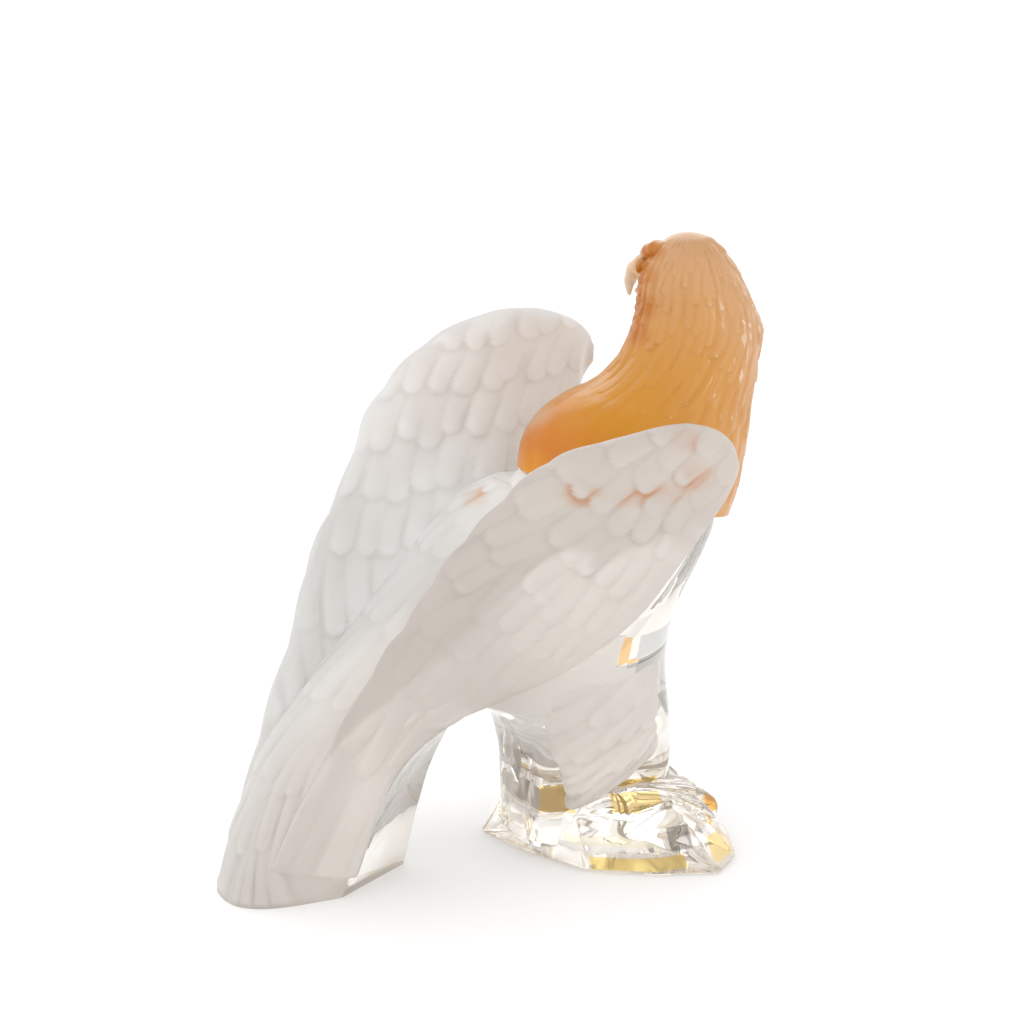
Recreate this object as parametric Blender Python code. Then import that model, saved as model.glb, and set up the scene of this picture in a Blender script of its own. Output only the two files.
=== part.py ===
"""An eagle in crystal, perched on a rock with its tail down behind it and its head turned to its left.

The bird faces +X, its left is +Y and up is +Z. It is two castings: a clear and satin body with the wings,
the tail, the legs and the rock, and an amber head with the neck, the breast and the mantle, which sits on
a sloping seat cut across the shoulders of the body. Every form is a loft of closed rings. The pose and the
proportions are given in parts, HEIGHT_PARTS of which make the height, and the sizes that can be chosen by
themselves are in metres.
"""

import bpy
import numpy as np

# Sizes that can be chosen by themselves, in metres
HEIGHT = 0.277
WING_THICKNESS = 0.0135
WING_ROOT = 0.016
FEATHER_STEP = 0.0016
HACKLE_STEP = 0.0012
THIGH_STEP = 0.0012
ROCK_CHAMFER = 0.0022
ROCK_HEIGHT = 0.024
SEAT_DROP = 0.027
SEAT_GAP = 0.0003

# The figure's own scale: its height in parts, and one part in metres
HEIGHT_PARTS = 277
PART = HEIGHT / HEIGHT_PARTS

# How many feathers lie side by side, and how finely each one is drawn
WING_FEATHERS = 5
WING_ROWS = (0.06, 0.17, 0.28, 0.39, 0.50, 0.62, 0.76, 1.0)
TAIL_FEATHERS = 7
TAIL_ROWS = (168, 146, 124, 102, 78, -4)
HACKLES = 9
THIGH_FEATHERS = 5
THIGH_ROWS = (112, 94, 76, 58, 41)
COLUMNS_A_FEATHER = 4
STEPS_A_ROW = (0.03, 0.36, 0.95)
FEATHER_REACH = 0.42
FEATHER_ARCH = 0.3

# Wings: place along the wing, leading edge x y z, trailing edge x y z, thickness share, outward bulge
RIGHT_WING = (
    (0.00, 82, -72, 192.5, 81.5, -71, 196.5, 0.35, 0),
    (0.05, 79.8, -74, 187, 75.5, -69, 203.5, 0.75, 1),
    (0.12, 76, -75, 180, 61, -67, 209, 0.95, 3),
    (0.24, 68, -74, 167, 30, -64, 206, 1.0, 5),
    (0.36, 56, -70, 149, 0, -60, 198, 1.0, 7),
    (0.48, 39, -62, 124, -24, -55, 178, 0.95, 8),
    (0.60, 14, -53, 104, -43, -49, 155, 0.9, 7),
    (0.71, -14, -45, 91, -57, -43, 131, 0.85, 5),
    (0.80, -39, -38, 80, -69, -38, 112, 0.8, 3),
    (0.88, -58, -32, 62, -87, -34, 80, 0.7, 1),
    (1.00, -73, -20, 10, -112, -19, 20, 0.5, 0),
)
LEFT_WING = (
    (0.00, 86, 72, 205, 87, 73, 212.5, 0.35, 0),
    (0.05, 83.5, 75, 199.5, 83.5, 74, 220, 0.75, 1),
    (0.12, 80.5, 76, 190, 70.5, 73, 228.5, 0.95, 3),
    (0.24, 72, 75, 169, 38, 71, 234, 1.0, 5),
    (0.36, 60, 72, 147, 2, 69, 223, 1.0, 7),
    (0.48, 42, 64, 121, -27, 65, 199, 0.95, 8),
    (0.60, 16, 55, 100, -47, 58, 162, 0.9, 7),
    (0.71, -16, 47, 84, -65, 51, 133, 0.85, 5),
    (0.80, -44, 40, 74, -76, 44, 104, 0.8, 3),
    (0.88, -60, 34, 56, -92, 36, 72, 0.7, 1),
    (1.00, -74, 26, 10, -114, 24, 20, 0.5, 0),
)
# How square the wing's edge is, and the share of the wing over which its carving begins
WING_EDGE_POWER = 3
WING_FADE = 0.15
# Where the root swells inwards, as place and reach along the wing and across it from the leading edge
ROOT_ALONG = (0.55, 0.32)
ROOT_ACROSS = (0.28, 0.5)

# Back and tail: height, rear x, front x, half width, y of the middle
TAIL = (
    (0, -127, -41, 23, 5),
    (30, -117, -34, 28, 3),
    (50, -108, -28, 32, 1),
    (66, -98, -19, 35, 0),
    (82, -81, -4, 43, 0),
    (100, -61, 24, 51, 0),
    (120, -38, 30, 57, 0),
    (140, -17, 36, 60, 0),
    (158, 2, 40, 52, 0),
    (168, 11, 40, 34, 0),
)
# Where its two sides meet, as a share of its depth, how full and square it is behind, and its front wedge
BACK_RIDGE = 0.55
BACK_FULLNESS = 0.55
BACK_SQUARENESS = 0.75
WEDGE_WIDTHS = (0.75, 0.5, 0.25)

# Body over the arch: height at the middle, rear x, front x, half width, share of the seat's slope, roundness
BODY = (
    (8, 10.5, 84, 24, 0, 0.45),
    (31, 10.5, 84, 24, 0, 0.45),
    (50, 9, 83.5, 27, 0, 0.5),
    (68, 1, 82, 38, 0, 0.75),
    (80, -16, 81.5, 45, 0, 0.9),
    (95, -24, 81, 54, 0.1, 1),
    (112, -24, 81.5, 60, 0.3, 1),
    (130, -12, 86, 61, 0.55, 1),
    (148, 7, 97, 55, 0.8, 1),
    (158, 15.5, 104, 47, 1, 1),
    (163, 18.5, 107, 42, 1, 1),
)
BODY_LEVELS = (8, 23, 38, 53, 68, 83, 98, 113, 128, 143, 158, 163)
BODY_SIDES = 24

# Breast, mantle, neck and crown: height at the middle, middle x, half length, half width, share of slope
MANTLE = (
    (163, 65.5, 48.8, 42, 1),
    (176, 68.5, 49, 43, 1),
    (189, 75, 45.5, 41, 1),
    (199, 82.5, 40.5, 37, 0.8),
    (206, 88, 37, 33, 0.45),
    (212, 92.5, 34.5, 31, 0.2),
    (220, 96.5, 31.5, 29.5, 0),
    (232, 100.8, 29.2, 28, 0),
    (246, 100.3, 25.1, 25, 0),
    (256, 98, 22.5, 23, 0),
    (266, 97, 17, 19, 0),
    (273, 97, 11, 13, 0),
    (276, 97, 5.5, 7, 0),
    (277, 97, 1.5, 2, 0),
)
MANTLE_STEP = 7.5

# Hackles: height and the number of the row there, counted down from the crown, and how far each end fades
HACKLE_ROWS = ((270, 0), (205, 5), (150, 7.5))
HACKLE_FADE_LOW = 20
HACKLE_FADE_HIGH = 10

# Head: which way it looks, in degrees from ahead, and its pieces as height, distance out, aside, half sizes
HEAD_TURN = 105
NECK_X = 97
BEAK = (
    (257, 8, 0, 14, 12),
    (257.5, 19, 0, 10.5, 9.6),
    (257.5, 28, 0, 6.8, 6.6),
    (254.5, 35.5, 0, 4.2, 4.2),
    (249, 38.8, 0, 2.6, 2.6),
    (243, 39, 0, 0.7, 0.8),
)
JAW = (
    (248, 10, 0, 8, 6),
    (247.5, 20, 0, 6.4, 4.4),
    (246.5, 28, 0, 4.8, 3.4),
    (246, 33.5, 0, 1.8, 1.4),
)
BROW = (
    (268.5, 2, 8.5, 5, 3.6),
    (271, 9.5, 10.5, 4.6, 3.6),
    (267.5, 18, 9, 3.6, 3.4),
    (262, 24, 5.5, 1.6, 1.4),
)
EYE = (
    (260.5, 13.5, 11.5, 0.6, 0.6),
    (261, 15, 12.2, 3.4, 3.2),
    (261, 18, 12.2, 3.4, 3.2),
    (260.5, 19.5, 11.5, 0.6, 0.6),
)

# Shoulders that carry the wings: x, y and height of the path, and half width and half height of the ring
SHOULDER = (
    (22, 29, 108, 21, 18),
    (34, 40, 126, 20, 20),
    (48, 52, 145, 15.5, 16),
    (60, 62.5, 160, 9.5, 9),
    (64, 69, 168, 3, 3),
)

# Thighs: height at the middle, middle x, half length, y of the middle, half width
THIGH = (
    (41, 45.5, 21.5, 31, 9),
    (50, 44, 21.5, 32, 11),
    (62, 41, 23.5, 33, 13),
    (76, 38.5, 25.5, 34, 15),
    (90, 35, 27.5, 36, 16),
    (101, 30, 28, 37, 15.5),
    (111, 27, 25, 35, 12),
    (119, 26, 16, 31, 6),
)
THIGH_SLOPE = 0.58

# Toes: angle from ahead, length share, and the path as distance out, height over the rock, half sizes
TOES = ((-24, 1.1), (-2, 1.0), (20, 0.85), (197, 0.5))
TOE = (
    (-7, 2, 8, 8),
    (14, 3, 5.4, 6),
    (28, 0.5, 4.8, 5.6),
    (38, -3, 4.2, 5),
    (45, -7, 2.2, 3),
    (47, -11.5, 0.8, 1),
)
ANKLE = (53, 30)

# Rock: corners of its foot, x y, and the corners above them, x y and share of its height
ROCK_FOOT = (
    (5, 23), (13, -6), (28, -38), (55, -56), (82, -66), (97, -53), (109, -22), (109, 22), (86, 52), (40, 52),
)
ROCK_TOP = (
    (16, 20, 0.8), (18.5, -2, 0.88), (27, -30, 1), (50, -41, 1), (69, -42, 1.25), (81, -37, 1.1), (90, -14, 1.05),
    (90, 16, 1), (78, 36, 1), (42, 36, 0.9),
)
ROCK_MIDDLE = (62, -6)
# The pad under the feet: how far in from those corners, and its share of the height
ROCK_PAD = (0.8, 1.12)


def through(table, at):
    """Values at the places at, on a smooth curve through a few rows. A row's first number is its place."""
    rows = np.array(table, float)
    order = np.argsort(rows[:, 0])
    place, value = rows[order, 0], rows[order, 1:]
    slope = np.gradient(value, place, axis=0)
    at = np.clip(np.asarray(at, float), place[0], place[-1])
    k = np.clip(np.searchsorted(place, at, side="right") - 1, 0, len(place) - 2)
    gap = (place[k + 1] - place[k])[:, None]
    f = (at - place[k])[:, None] / gap
    rise = value[k + 1] - value[k]
    start, end = slope[k] * gap, slope[k + 1] * gap
    return value[k] + f * start + f**2 * (3 * rise - 2 * start - end) + f**3 * (start + end - 2 * rise)


def row_places(edges):
    """Places along the feathers, a few in each row, so that every step in the carving falls on a ring."""
    steps = [start + (end - start) * step for start, end in zip(edges, edges[1:]) for step in STEPS_A_ROW]
    return np.array(steps)


def shingles(row, column, reach=FEATHER_REACH):
    """Height of overlapping feathers, from 0 to 1. Each rises to its tip and steps down to the next row."""
    number = np.floor(row)
    along = row - number
    above = column + 0.5 * np.mod(number - 1, 2)
    across = 2 * np.mod(above, 1) - 1
    covered = along < reach * (1 - across**2)
    own = 2 * np.mod(column + 0.5 * np.mod(number, 2), 1) - 1
    across = np.where(covered, across, own)
    along = np.where(covered, along + 1, along)
    return along / (1 + reach) - FEATHER_ARCH * across**2


def loft(name, rings, flat_start=False, flat_end=False):
    """A closed solid through rings with as many points each. An end is flat, or closes on a middle point."""
    rings = np.asarray(rings, float)
    count, size = rings.shape[:2]
    points = list(rings.reshape(-1, 3))
    faces = []
    for i in range(count - 1):
        for j in range(size):
            k = (j + 1) % size
            faces.append((i * size + j, i * size + k, (i + 1) * size + k, (i + 1) * size + j))
    for ring, flat in ((0, flat_start), (count - 1, flat_end)):
        edge = [ring * size + j for j in range(size)]
        if ring == 0:
            edge.reverse()
        if flat:
            faces.append(tuple(edge))
        else:
            points.append(rings[ring].mean(axis=0))
            faces += [(edge[j], edge[(j + 1) % size], len(points) - 1) for j in range(size)]
    mesh = bpy.data.meshes.new(name)
    mesh.from_pydata([tuple(p * PART) for p in points], [], faces)
    solid = bpy.data.objects.new(name, mesh)
    bpy.context.scene.collection.objects.link(solid)
    face_outwards(mesh)
    return solid


def face_outwards(mesh):
    """Turns every face round where the solid's volume comes out negative."""
    mesh.calc_loop_triangles()
    points = np.array([v.co for v in mesh.vertices])
    corners = points[np.array([t.vertices for t in mesh.loop_triangles])]
    if np.linalg.det(corners).sum() < 0:
        mesh.flip_normals()


def ellipses(middle, long, wide, height, slope, size, round_as=1):
    """Rings about the upright, each on a plane that falls forwards by its slope. Less round is more square."""
    turn = np.linspace(0, 2 * np.pi, size, endpoint=False)
    power = np.broadcast_to(round_as, len(long))[:, None]
    ahead = long[:, None] * np.sign(np.cos(turn)) * np.abs(np.cos(turn)) ** power
    x = middle[:, 0:1] + ahead
    y = middle[:, 1:2] + wide[:, None] * np.sign(np.sin(turn)) * np.abs(np.sin(turn)) ** power
    z = height[:, None] - slope[:, None] * ahead
    return np.stack([x, y, z], -1)


def bell(place, centre, reach):
    """A smooth hump from 0 to 1, with its top at centre and its foot at reach to either side."""
    return np.clip(1 - ((place - centre) / reach) ** 2, 0, 1) ** 2


def wing(name, table, side):
    """A curved leaf from the wrist to the tip, with rows of feathers on both faces."""
    places = np.concatenate([[0, 0.03], row_places(WING_ROWS)])
    values = through(table, places)
    lead, trail = values[:, None, 0:3], values[:, None, 3:6]
    thick, bulge = values[:, 6], values[:, 7]
    columns = WING_FEATHERS * COLUMNS_A_FEATHER
    across = np.arange(columns + 1) / columns
    middle = lead + (trail - lead) * across[:, None]
    middle[:, :, 1] += side * bulge[:, None] * 4 * across * (1 - across)
    out = np.cross(np.gradient(middle, axis=0), np.gradient(middle, axis=1))
    out *= np.sign(out[..., 1:2]) * side / np.linalg.norm(out, axis=-1, keepdims=True)
    edge = np.sqrt(1 - np.abs(2 * across - 1) ** WING_EDGE_POWER)
    half = WING_THICKNESS / PART / 2 * thick[:, None] * edge
    row = np.interp(places, WING_ROWS, range(len(WING_ROWS)))
    carving = FEATHER_STEP / PART * shingles(row[:, None], WING_FEATHERS * across[None, :])
    carving *= np.clip(half / half.max() * 2, 0, 1) * np.clip(places / WING_FADE, 0, 1)[:, None]
    root = bell(places, *ROOT_ALONG)[:, None] * bell(across, *ROOT_ACROSS) * WING_ROOT / PART
    outer = middle + out * (half + carving)[..., None]
    inner = middle - out * (half + carving + root)[..., None]
    rings = np.concatenate([outer, inner[:, -2:0:-1]], axis=1)
    return loft(name, rings)


def tail():
    """Back and tail: broad and feathered behind, and drawn to a clear wedge in front."""
    heights = np.concatenate([[0], row_places(TAIL_ROWS)[::-1]])
    heights = np.unique(np.clip(heights, 0, TAIL[-1][0]))
    rear, front, wide, shift = through(TAIL, heights).T
    ridge = rear + (front - rear) * BACK_RIDGE
    columns = TAIL_FEATHERS * COLUMNS_A_FEATHER
    share = np.arange(columns + 1) / columns
    turn = np.pi * (share - 0.5)
    behind = np.abs(np.cos(turn)) ** BACK_FULLNESS
    aside = np.sign(turn) * np.abs(np.sin(turn)) ** BACK_SQUARENESS
    x = ridge[:, None] + (rear - ridge)[:, None] * behind
    y = shift[:, None] + wide[:, None] * aside
    row = np.interp(-heights, -np.array(TAIL_ROWS), range(len(TAIL_ROWS)))
    carving = FEATHER_STEP / PART * shingles(row[:, None], TAIL_FEATHERS * share[None, :])
    x -= carving * behind
    y += carving * aside
    before = np.array(WEDGE_WIDTHS)
    before = np.concatenate([before, [0], -before[::-1]])
    x = np.concatenate([x, front[:, None] - (front - ridge)[:, None] * np.abs(before)], axis=1)
    y = np.concatenate([y, shift[:, None] + wide[:, None] * before], axis=1)
    z = np.repeat(heights[:, None], x.shape[1], axis=1)
    return loft("back_and_tail", np.stack([x, y, z], -1), flat_start=True)


def body():
    """The clear trunk from the rock up to the seat, which slopes down to the breast."""
    levels = np.array(BODY_LEVELS, float)
    rear, front, wide, share, round_as = through(BODY, levels).T
    middle = np.stack([(rear + front) / 2, 0 * rear], -1)
    slope = share * seat_slope()
    rings = ellipses(middle, (front - rear) / 2, wide, levels, slope, BODY_SIDES, round_as)
    return loft("trunk", rings, flat_end=True)


def seat_slope():
    """Fall of the seat for each part forwards, from its drop over its length."""
    return SEAT_DROP / PART / (2 * MANTLE[0][2])


def thigh(name, side):
    """A feathered leg that narrows to the foot, with its lower edge rising to the front."""
    levels = np.concatenate([row_places(THIGH_ROWS)[::-1], [THIGH[-1][0]]])
    middle, long, aside, wide = through(THIGH, levels).T
    row = np.interp(-levels, -np.array(THIGH_ROWS), range(len(THIGH_ROWS)))
    size = THIGH_FEATHERS * COLUMNS_A_FEATHER
    column = np.linspace(0, THIGH_FEATHERS, size, endpoint=False)
    swell = THIGH_STEP / PART * shingles(row[:, None], column[None, :])
    slope = THIGH_SLOPE * ((levels - THIGH[0][0]) / (THIGH[-1][0] - THIGH[0][0]) - 1)
    places = np.stack([middle, side * aside], -1)
    rings = ellipses(places, long, wide, levels, slope, size)
    turn = np.linspace(0, 2 * np.pi, size, endpoint=False)
    rings[..., 0] += swell * np.cos(turn)
    rings[..., 1] += swell * np.sin(turn)
    return loft(name, rings)


def rock():
    """A low clear boulder with leaning flat faces, flat below, with a chamfer round its foot."""
    foot, top = np.array(ROCK_FOOT, float), np.array(ROCK_TOP, float)
    chamfer, rise = ROCK_CHAMFER / PART, ROCK_HEIGHT / PART
    out = foot - ROCK_MIDDLE
    inset = foot - chamfer * out / np.linalg.norm(out, axis=1, keepdims=True)
    top[:, 2] = chamfer + top[:, 2] * (rise - chamfer)
    level = 0 * top[:, 2]
    pad = np.column_stack([ROCK_MIDDLE + ROCK_PAD[0] * (top[:, :2] - ROCK_MIDDLE), level + ROCK_PAD[1] * rise])
    rings = [np.column_stack([inset, level]), np.column_stack([foot, level + chamfer]), top, pad]
    return loft("rock", rings, flat_start=True)


def mantle():
    """Breast, mantle, neck and crown in one loft, with hackles that hang down the neck."""
    heights = np.array([row[0] for row in MANTLE], float)
    levels = np.unique(np.concatenate([heights, np.arange(heights[3], heights[-2], MANTLE_STEP)]))
    middle, long, wide, share = through(MANTLE, levels).T
    slope = share * seat_slope()
    sides = HACKLES * COLUMNS_A_FEATHER
    rings = ellipses(np.stack([middle, 0 * middle], -1), long, wide, levels, slope, sides)
    rings[0, :, 2] += SEAT_GAP / PART * np.hypot(1, seat_slope())
    turn = np.linspace(0, HACKLES, rings.shape[1], endpoint=False)
    heights_of_rows, numbers = np.array(HACKLE_ROWS).T
    row = np.interp(-levels, -heights_of_rows, numbers)
    carving = HACKLE_STEP / PART * shingles(row[:, None], turn[None, :])
    carving *= np.clip((levels - heights[0]) / HACKLE_FADE_LOW, 0, 1)[:, None]
    carving *= np.clip((HEIGHT_PARTS - levels) / HACKLE_FADE_HIGH, 0, 1)[:, None]
    centre = np.stack([middle, 0 * middle, levels], -1)[:, None]
    out = rings - centre
    out[..., 2] = 0
    out /= np.linalg.norm(out, axis=-1, keepdims=True)
    return loft("mantle", rings + out * carving[..., None], flat_start=True)


def along(name, path, wide, tall, size=8):
    """A closed tapering solid that follows a path in an upright plane, with a ring across each of its points."""
    run = np.gradient(path, axis=0)
    level = np.cross([0, 0, 1], path[-1] - path[0])
    aside = np.tile(level / np.linalg.norm(level), (len(path), 1))
    up = np.cross(run, aside)
    up /= np.linalg.norm(up, axis=1, keepdims=True)
    turn = np.linspace(0, 2 * np.pi, size, endpoint=False)[None, :, None]
    rings = path[:, None] + aside[:, None] * wide[:, None, None] * np.cos(turn)
    return loft(name, rings + up[:, None] * tall[:, None, None] * np.sin(turn))


def head_piece(name, table, side=1, size=8):
    """A form of the head, placed from the neck's middle in the direction that the bird looks."""
    height, out, aside, wide, tall = np.array(table, float).T
    look = np.radians(HEAD_TURN)
    x = NECK_X + out * np.cos(look) - side * aside * np.sin(look)
    y = out * np.sin(look) + side * aside * np.cos(look)
    return along(name, np.stack([x, y, height], -1), wide, tall, size)


def shoulder(name, side):
    """The arm of a wing, from the breast up into the wrist."""
    x, y, height, wide, tall = np.array(SHOULDER, float).T
    return along(name, np.stack([x, side * y, height], -1), wide, tall, 10)


def toes(side):
    """Three toes forwards and one back, each arched over the rock and ending in a claw."""
    out, over, wide, tall = np.array(TOE, float).T
    height = ROCK_HEIGHT / PART + over
    solids = []
    for number, (turn, share) in enumerate(TOES):
        ahead = np.radians(turn)
        x = ANKLE[0] + share * out * np.cos(ahead)
        y = side * (ANKLE[1] + share * out * np.sin(ahead))
        name = f"{'left' if side > 0 else 'right'}_toe_{number + 1}"
        solids.append(along(name, np.stack([x, y, height], -1), wide, tall, 6))
    return solids


def join(name, pieces, material):
    """One solid from overlapping pieces. The first takes the name and the others stay as hidden helpers."""
    whole = pieces[0]
    whole.name = whole.data.name = name
    whole.data.materials.append(material)
    for piece in pieces[1:]:
        piece.hide_render = True
        piece.display_type = "WIRE"
        union = whole.modifiers.new(piece.name, "BOOLEAN")
        union.operation = "UNION"
        union.solver = "MANIFOLD"
        union.object = piece
    return whole


def crystal(name, colour, roughness):
    """Cast crystal: see-through, with the colour and the polish of its surface."""
    material = bpy.data.materials.new(name)
    material.use_nodes = True
    shader = material.node_tree.nodes["Principled BSDF"]
    shader.inputs["Base Color"].default_value = (*colour, 1)
    shader.inputs["Roughness"].default_value = roughness
    shader.inputs["IOR"].default_value = 1.52
    shader.inputs["Transmission Weight"].default_value = 0.9
    return material


def centre(solids):
    """Moves everything so that the middle of the foot of the whole is the origin."""
    graph = bpy.context.evaluated_depsgraph_get()
    corners = []
    for solid in solids:
        mesh = solid.evaluated_get(graph).to_mesh()
        corners += [v.co.copy() for v in mesh.vertices]
    corners = np.array(corners)
    shift = -(corners.min(axis=0) + corners.max(axis=0)) / 2
    shift[2] = -corners[:, 2].min()
    for each in bpy.data.objects:
        each.location = shift


def main():
    for each in list(bpy.data.objects):
        bpy.data.objects.remove(each)
    clear = crystal("satin_and_clear_crystal", (0.86, 0.85, 0.83), 0.25)
    amber = crystal("amber_crystal", (0.80, 0.42, 0.13), 0.35)
    pieces = [tail(), body(), wing("right_wing", RIGHT_WING, -1), wing("left_wing", LEFT_WING, 1)]
    for side, word in ((-1, "right"), (1, "left")):
        pieces += [shoulder(f"{word}_shoulder", side), thigh(f"{word}_thigh", side)] + toes(side)
    pieces.append(rock())
    base = join("crystal_body", pieces, clear)
    features = [head_piece("beak", BEAK, size=10), head_piece("jaw", JAW)]
    for side, word in ((-1, "right"), (1, "left")):
        features += [head_piece(f"{word}_brow", BROW, side), head_piece(f"{word}_eye", EYE, side)]
    head = join("amber_head", [mantle()] + features, amber)
    centre([base, head])


main()
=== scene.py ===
"""The looks of a crystal eagle perched on a rock: satin and clear crystal below, amber crystal above.

The bird faces +X, its left is +Y and up is +Z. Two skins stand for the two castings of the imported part. Each
is a union of lofts that follow the tables below, in parts, of which HEIGHT_PARTS make the height, and its
feathers are carved into it as a height field. The file is laid out as an add-on and run as a script.
"""

import math

import bpy
import numpy as np
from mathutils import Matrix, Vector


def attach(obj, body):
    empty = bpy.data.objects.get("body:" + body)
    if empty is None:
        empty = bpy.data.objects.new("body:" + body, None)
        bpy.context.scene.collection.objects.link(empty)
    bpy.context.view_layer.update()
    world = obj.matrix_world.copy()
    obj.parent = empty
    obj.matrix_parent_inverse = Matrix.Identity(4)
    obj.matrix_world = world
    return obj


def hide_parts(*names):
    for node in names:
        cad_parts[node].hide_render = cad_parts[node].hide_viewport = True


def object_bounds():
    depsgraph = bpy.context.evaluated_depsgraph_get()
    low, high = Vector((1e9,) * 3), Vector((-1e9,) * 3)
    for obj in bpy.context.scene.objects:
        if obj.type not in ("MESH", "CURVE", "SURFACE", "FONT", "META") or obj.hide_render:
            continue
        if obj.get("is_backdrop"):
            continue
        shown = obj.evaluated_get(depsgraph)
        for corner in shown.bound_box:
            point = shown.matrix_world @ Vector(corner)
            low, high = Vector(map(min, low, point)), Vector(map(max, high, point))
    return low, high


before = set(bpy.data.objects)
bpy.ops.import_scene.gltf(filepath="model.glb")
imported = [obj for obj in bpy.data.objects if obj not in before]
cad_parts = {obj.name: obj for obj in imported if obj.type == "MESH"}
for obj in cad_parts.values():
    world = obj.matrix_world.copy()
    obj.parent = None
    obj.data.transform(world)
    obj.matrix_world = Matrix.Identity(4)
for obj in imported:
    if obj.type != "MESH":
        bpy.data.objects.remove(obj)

bl_info = {
    "name": "Crystal Eagle",
    "version": (1, 0, 0),
    "blender": (4, 5, 0),
    "location": "3D View > Sidebar > Crystal Eagle",
    "description": "Carves and finishes the skins of a crystal eagle",
    "category": "Object",
}

CAD_LOW, CAD_HIGH = (np.array(corner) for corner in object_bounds())

# The figure's own scale: its height in parts, one part in metres, and its middle, which the frame centres
HEIGHT_PARTS = 277
PART = (CAD_HIGH[2] - CAD_LOW[2]) / HEIGHT_PARTS
MIDDLE = np.array([1.174, 1.479, 0])
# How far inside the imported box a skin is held, in metres
BOX_MARGIN = 0.00005

# Wings: place along the wing, leading edge x y z, trailing edge x y z, thickness share, outward bulge
RIGHT_WING = (
    (0.00, 82, -72, 192.5, 81.5, -71, 196.5, 0.35, 0),
    (0.05, 79.8, -74, 187, 75.5, -69, 203.5, 0.75, 1),
    (0.12, 76, -75, 180, 61, -67, 209, 0.95, 3),
    (0.24, 68, -74, 167, 30, -64, 206, 1.0, 5),
    (0.36, 56, -70, 149, 0, -60, 198, 1.0, 7),
    (0.48, 39, -62, 124, -24, -55, 178, 0.95, 8),
    (0.60, 14, -53, 104, -43, -49, 155, 0.9, 7),
    (0.71, -14, -45, 91, -57, -43, 131, 0.85, 5),
    (0.80, -39, -38, 80, -69, -38, 112, 0.8, 3),
    (0.88, -58, -32, 62, -87, -34, 80, 0.7, 1),
    (1.00, -73, -20, 10, -112, -19, 20, 0.5, 0),
)
LEFT_WING = (
    (0.00, 86, 72, 205, 87, 73, 212.5, 0.35, 0),
    (0.05, 83.5, 75, 199.5, 83.5, 74, 220, 0.75, 1),
    (0.12, 80.5, 76, 190, 70.5, 73, 228.5, 0.95, 3),
    (0.24, 72, 75, 169, 38, 71, 234, 1.0, 5),
    (0.36, 60, 72, 147, 2, 69, 223, 1.0, 7),
    (0.48, 42, 64, 121, -27, 65, 199, 0.95, 8),
    (0.60, 16, 55, 100, -47, 58, 162, 0.9, 7),
    (0.71, -16, 47, 84, -65, 51, 133, 0.85, 5),
    (0.80, -44, 40, 74, -76, 44, 104, 0.8, 3),
    (0.88, -60, 34, 56, -92, 36, 72, 0.7, 1),
    (1.00, -74, 26, 10, -114, 24, 20, 0.5, 0),
)
# Section of a wing: thickness, how blunt its edges are, and the share of its length that tapers at the wrist
# in a quarter of an ellipse, with the share of that where the wing begins
WING_THICKNESS = 13.5
WING_EDGE_POWER = 3
WRIST_TAPER = 0.1
WRIST_START = 0.02
# Swelling of the inner face where a wing meets the body: height, and middle and reach along and across it
WING_ROOT = 16
ROOT_ALONG = (0.55, 0.32)
ROOT_ACROSS = (0.28, 0.5)
# Steps along and across a wing, and how evenly the second lie rather than closer together at its edges
WING_GRID = (190, 78)
WING_EVENNESS = 0.6
# Scallops of the trailing edge: depth, how many, from where along it and over how much they grow, and how
# closely they keep to the edge
SCALLOPS = (1.4, 11, 0.2, 0.2, 6)

# Back and tail: height, rear x, front x, half width, y of the middle
TAIL = (
    (0, -127, -41, 23, 5),
    (30, -117, -34, 28, 3),
    (50, -108, -28, 32, 1),
    (66, -98, -19, 35, 0),
    (82, -81, -4, 43, 0),
    (100, -61, 24, 51, 0),
    (120, -38, 30, 57, 0),
    (140, -17, 36, 60, 0),
    (158, 2, 40, 52, 0),
    (168, 11, 40, 34, 0),
)
# Where its ridge lies from rear to front, and how full and how square it is behind
BACK_RIDGE = 0.55
BACK_FULLNESS = 0.55
BACK_SQUARENESS = 0.75
# Its levels, and steps behind and before; how long the way round its back is; where its carving fades below
TAIL_GRID = (130, 110, 26)
TAIL_ARC = 100
TAIL_RIM = 5

# Body over the arch: height at the middle, rear x, front x, half width, share of the seat's slope, roundness
BODY = (
    (8, 10.5, 84, 24, 0, 0.45),
    (31, 10.5, 84, 24, 0, 0.45),
    (50, 9, 83.5, 27, 0, 0.5),
    (68, 1, 82, 38, 0, 0.75),
    (80, -16, 81.5, 45, 0, 0.9),
    (95, -24, 81, 54, 0.1, 1),
    (112, -24, 81.5, 60, 0.3, 1),
    (130, -12, 86, 61, 0.55, 1),
    (148, 7, 97, 55, 0.8, 1),
    (158, 15.5, 104, 47, 1, 1),
    (163, 18.5, 107, 42, 1, 1),
)
# Levels, and points round each, as in the other grids below
BODY_GRID = (70, 56)
# Where the trunk is etched: above a height, and behind an x or a plane, given as its x at the floor and lean
TRUNK_ETCHED = (76, 30, 186, 1.5)
# How pale the trunk's etched part is shown, as the height of carving that it is given
TRUNK_SHOWN = 0.85

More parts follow.
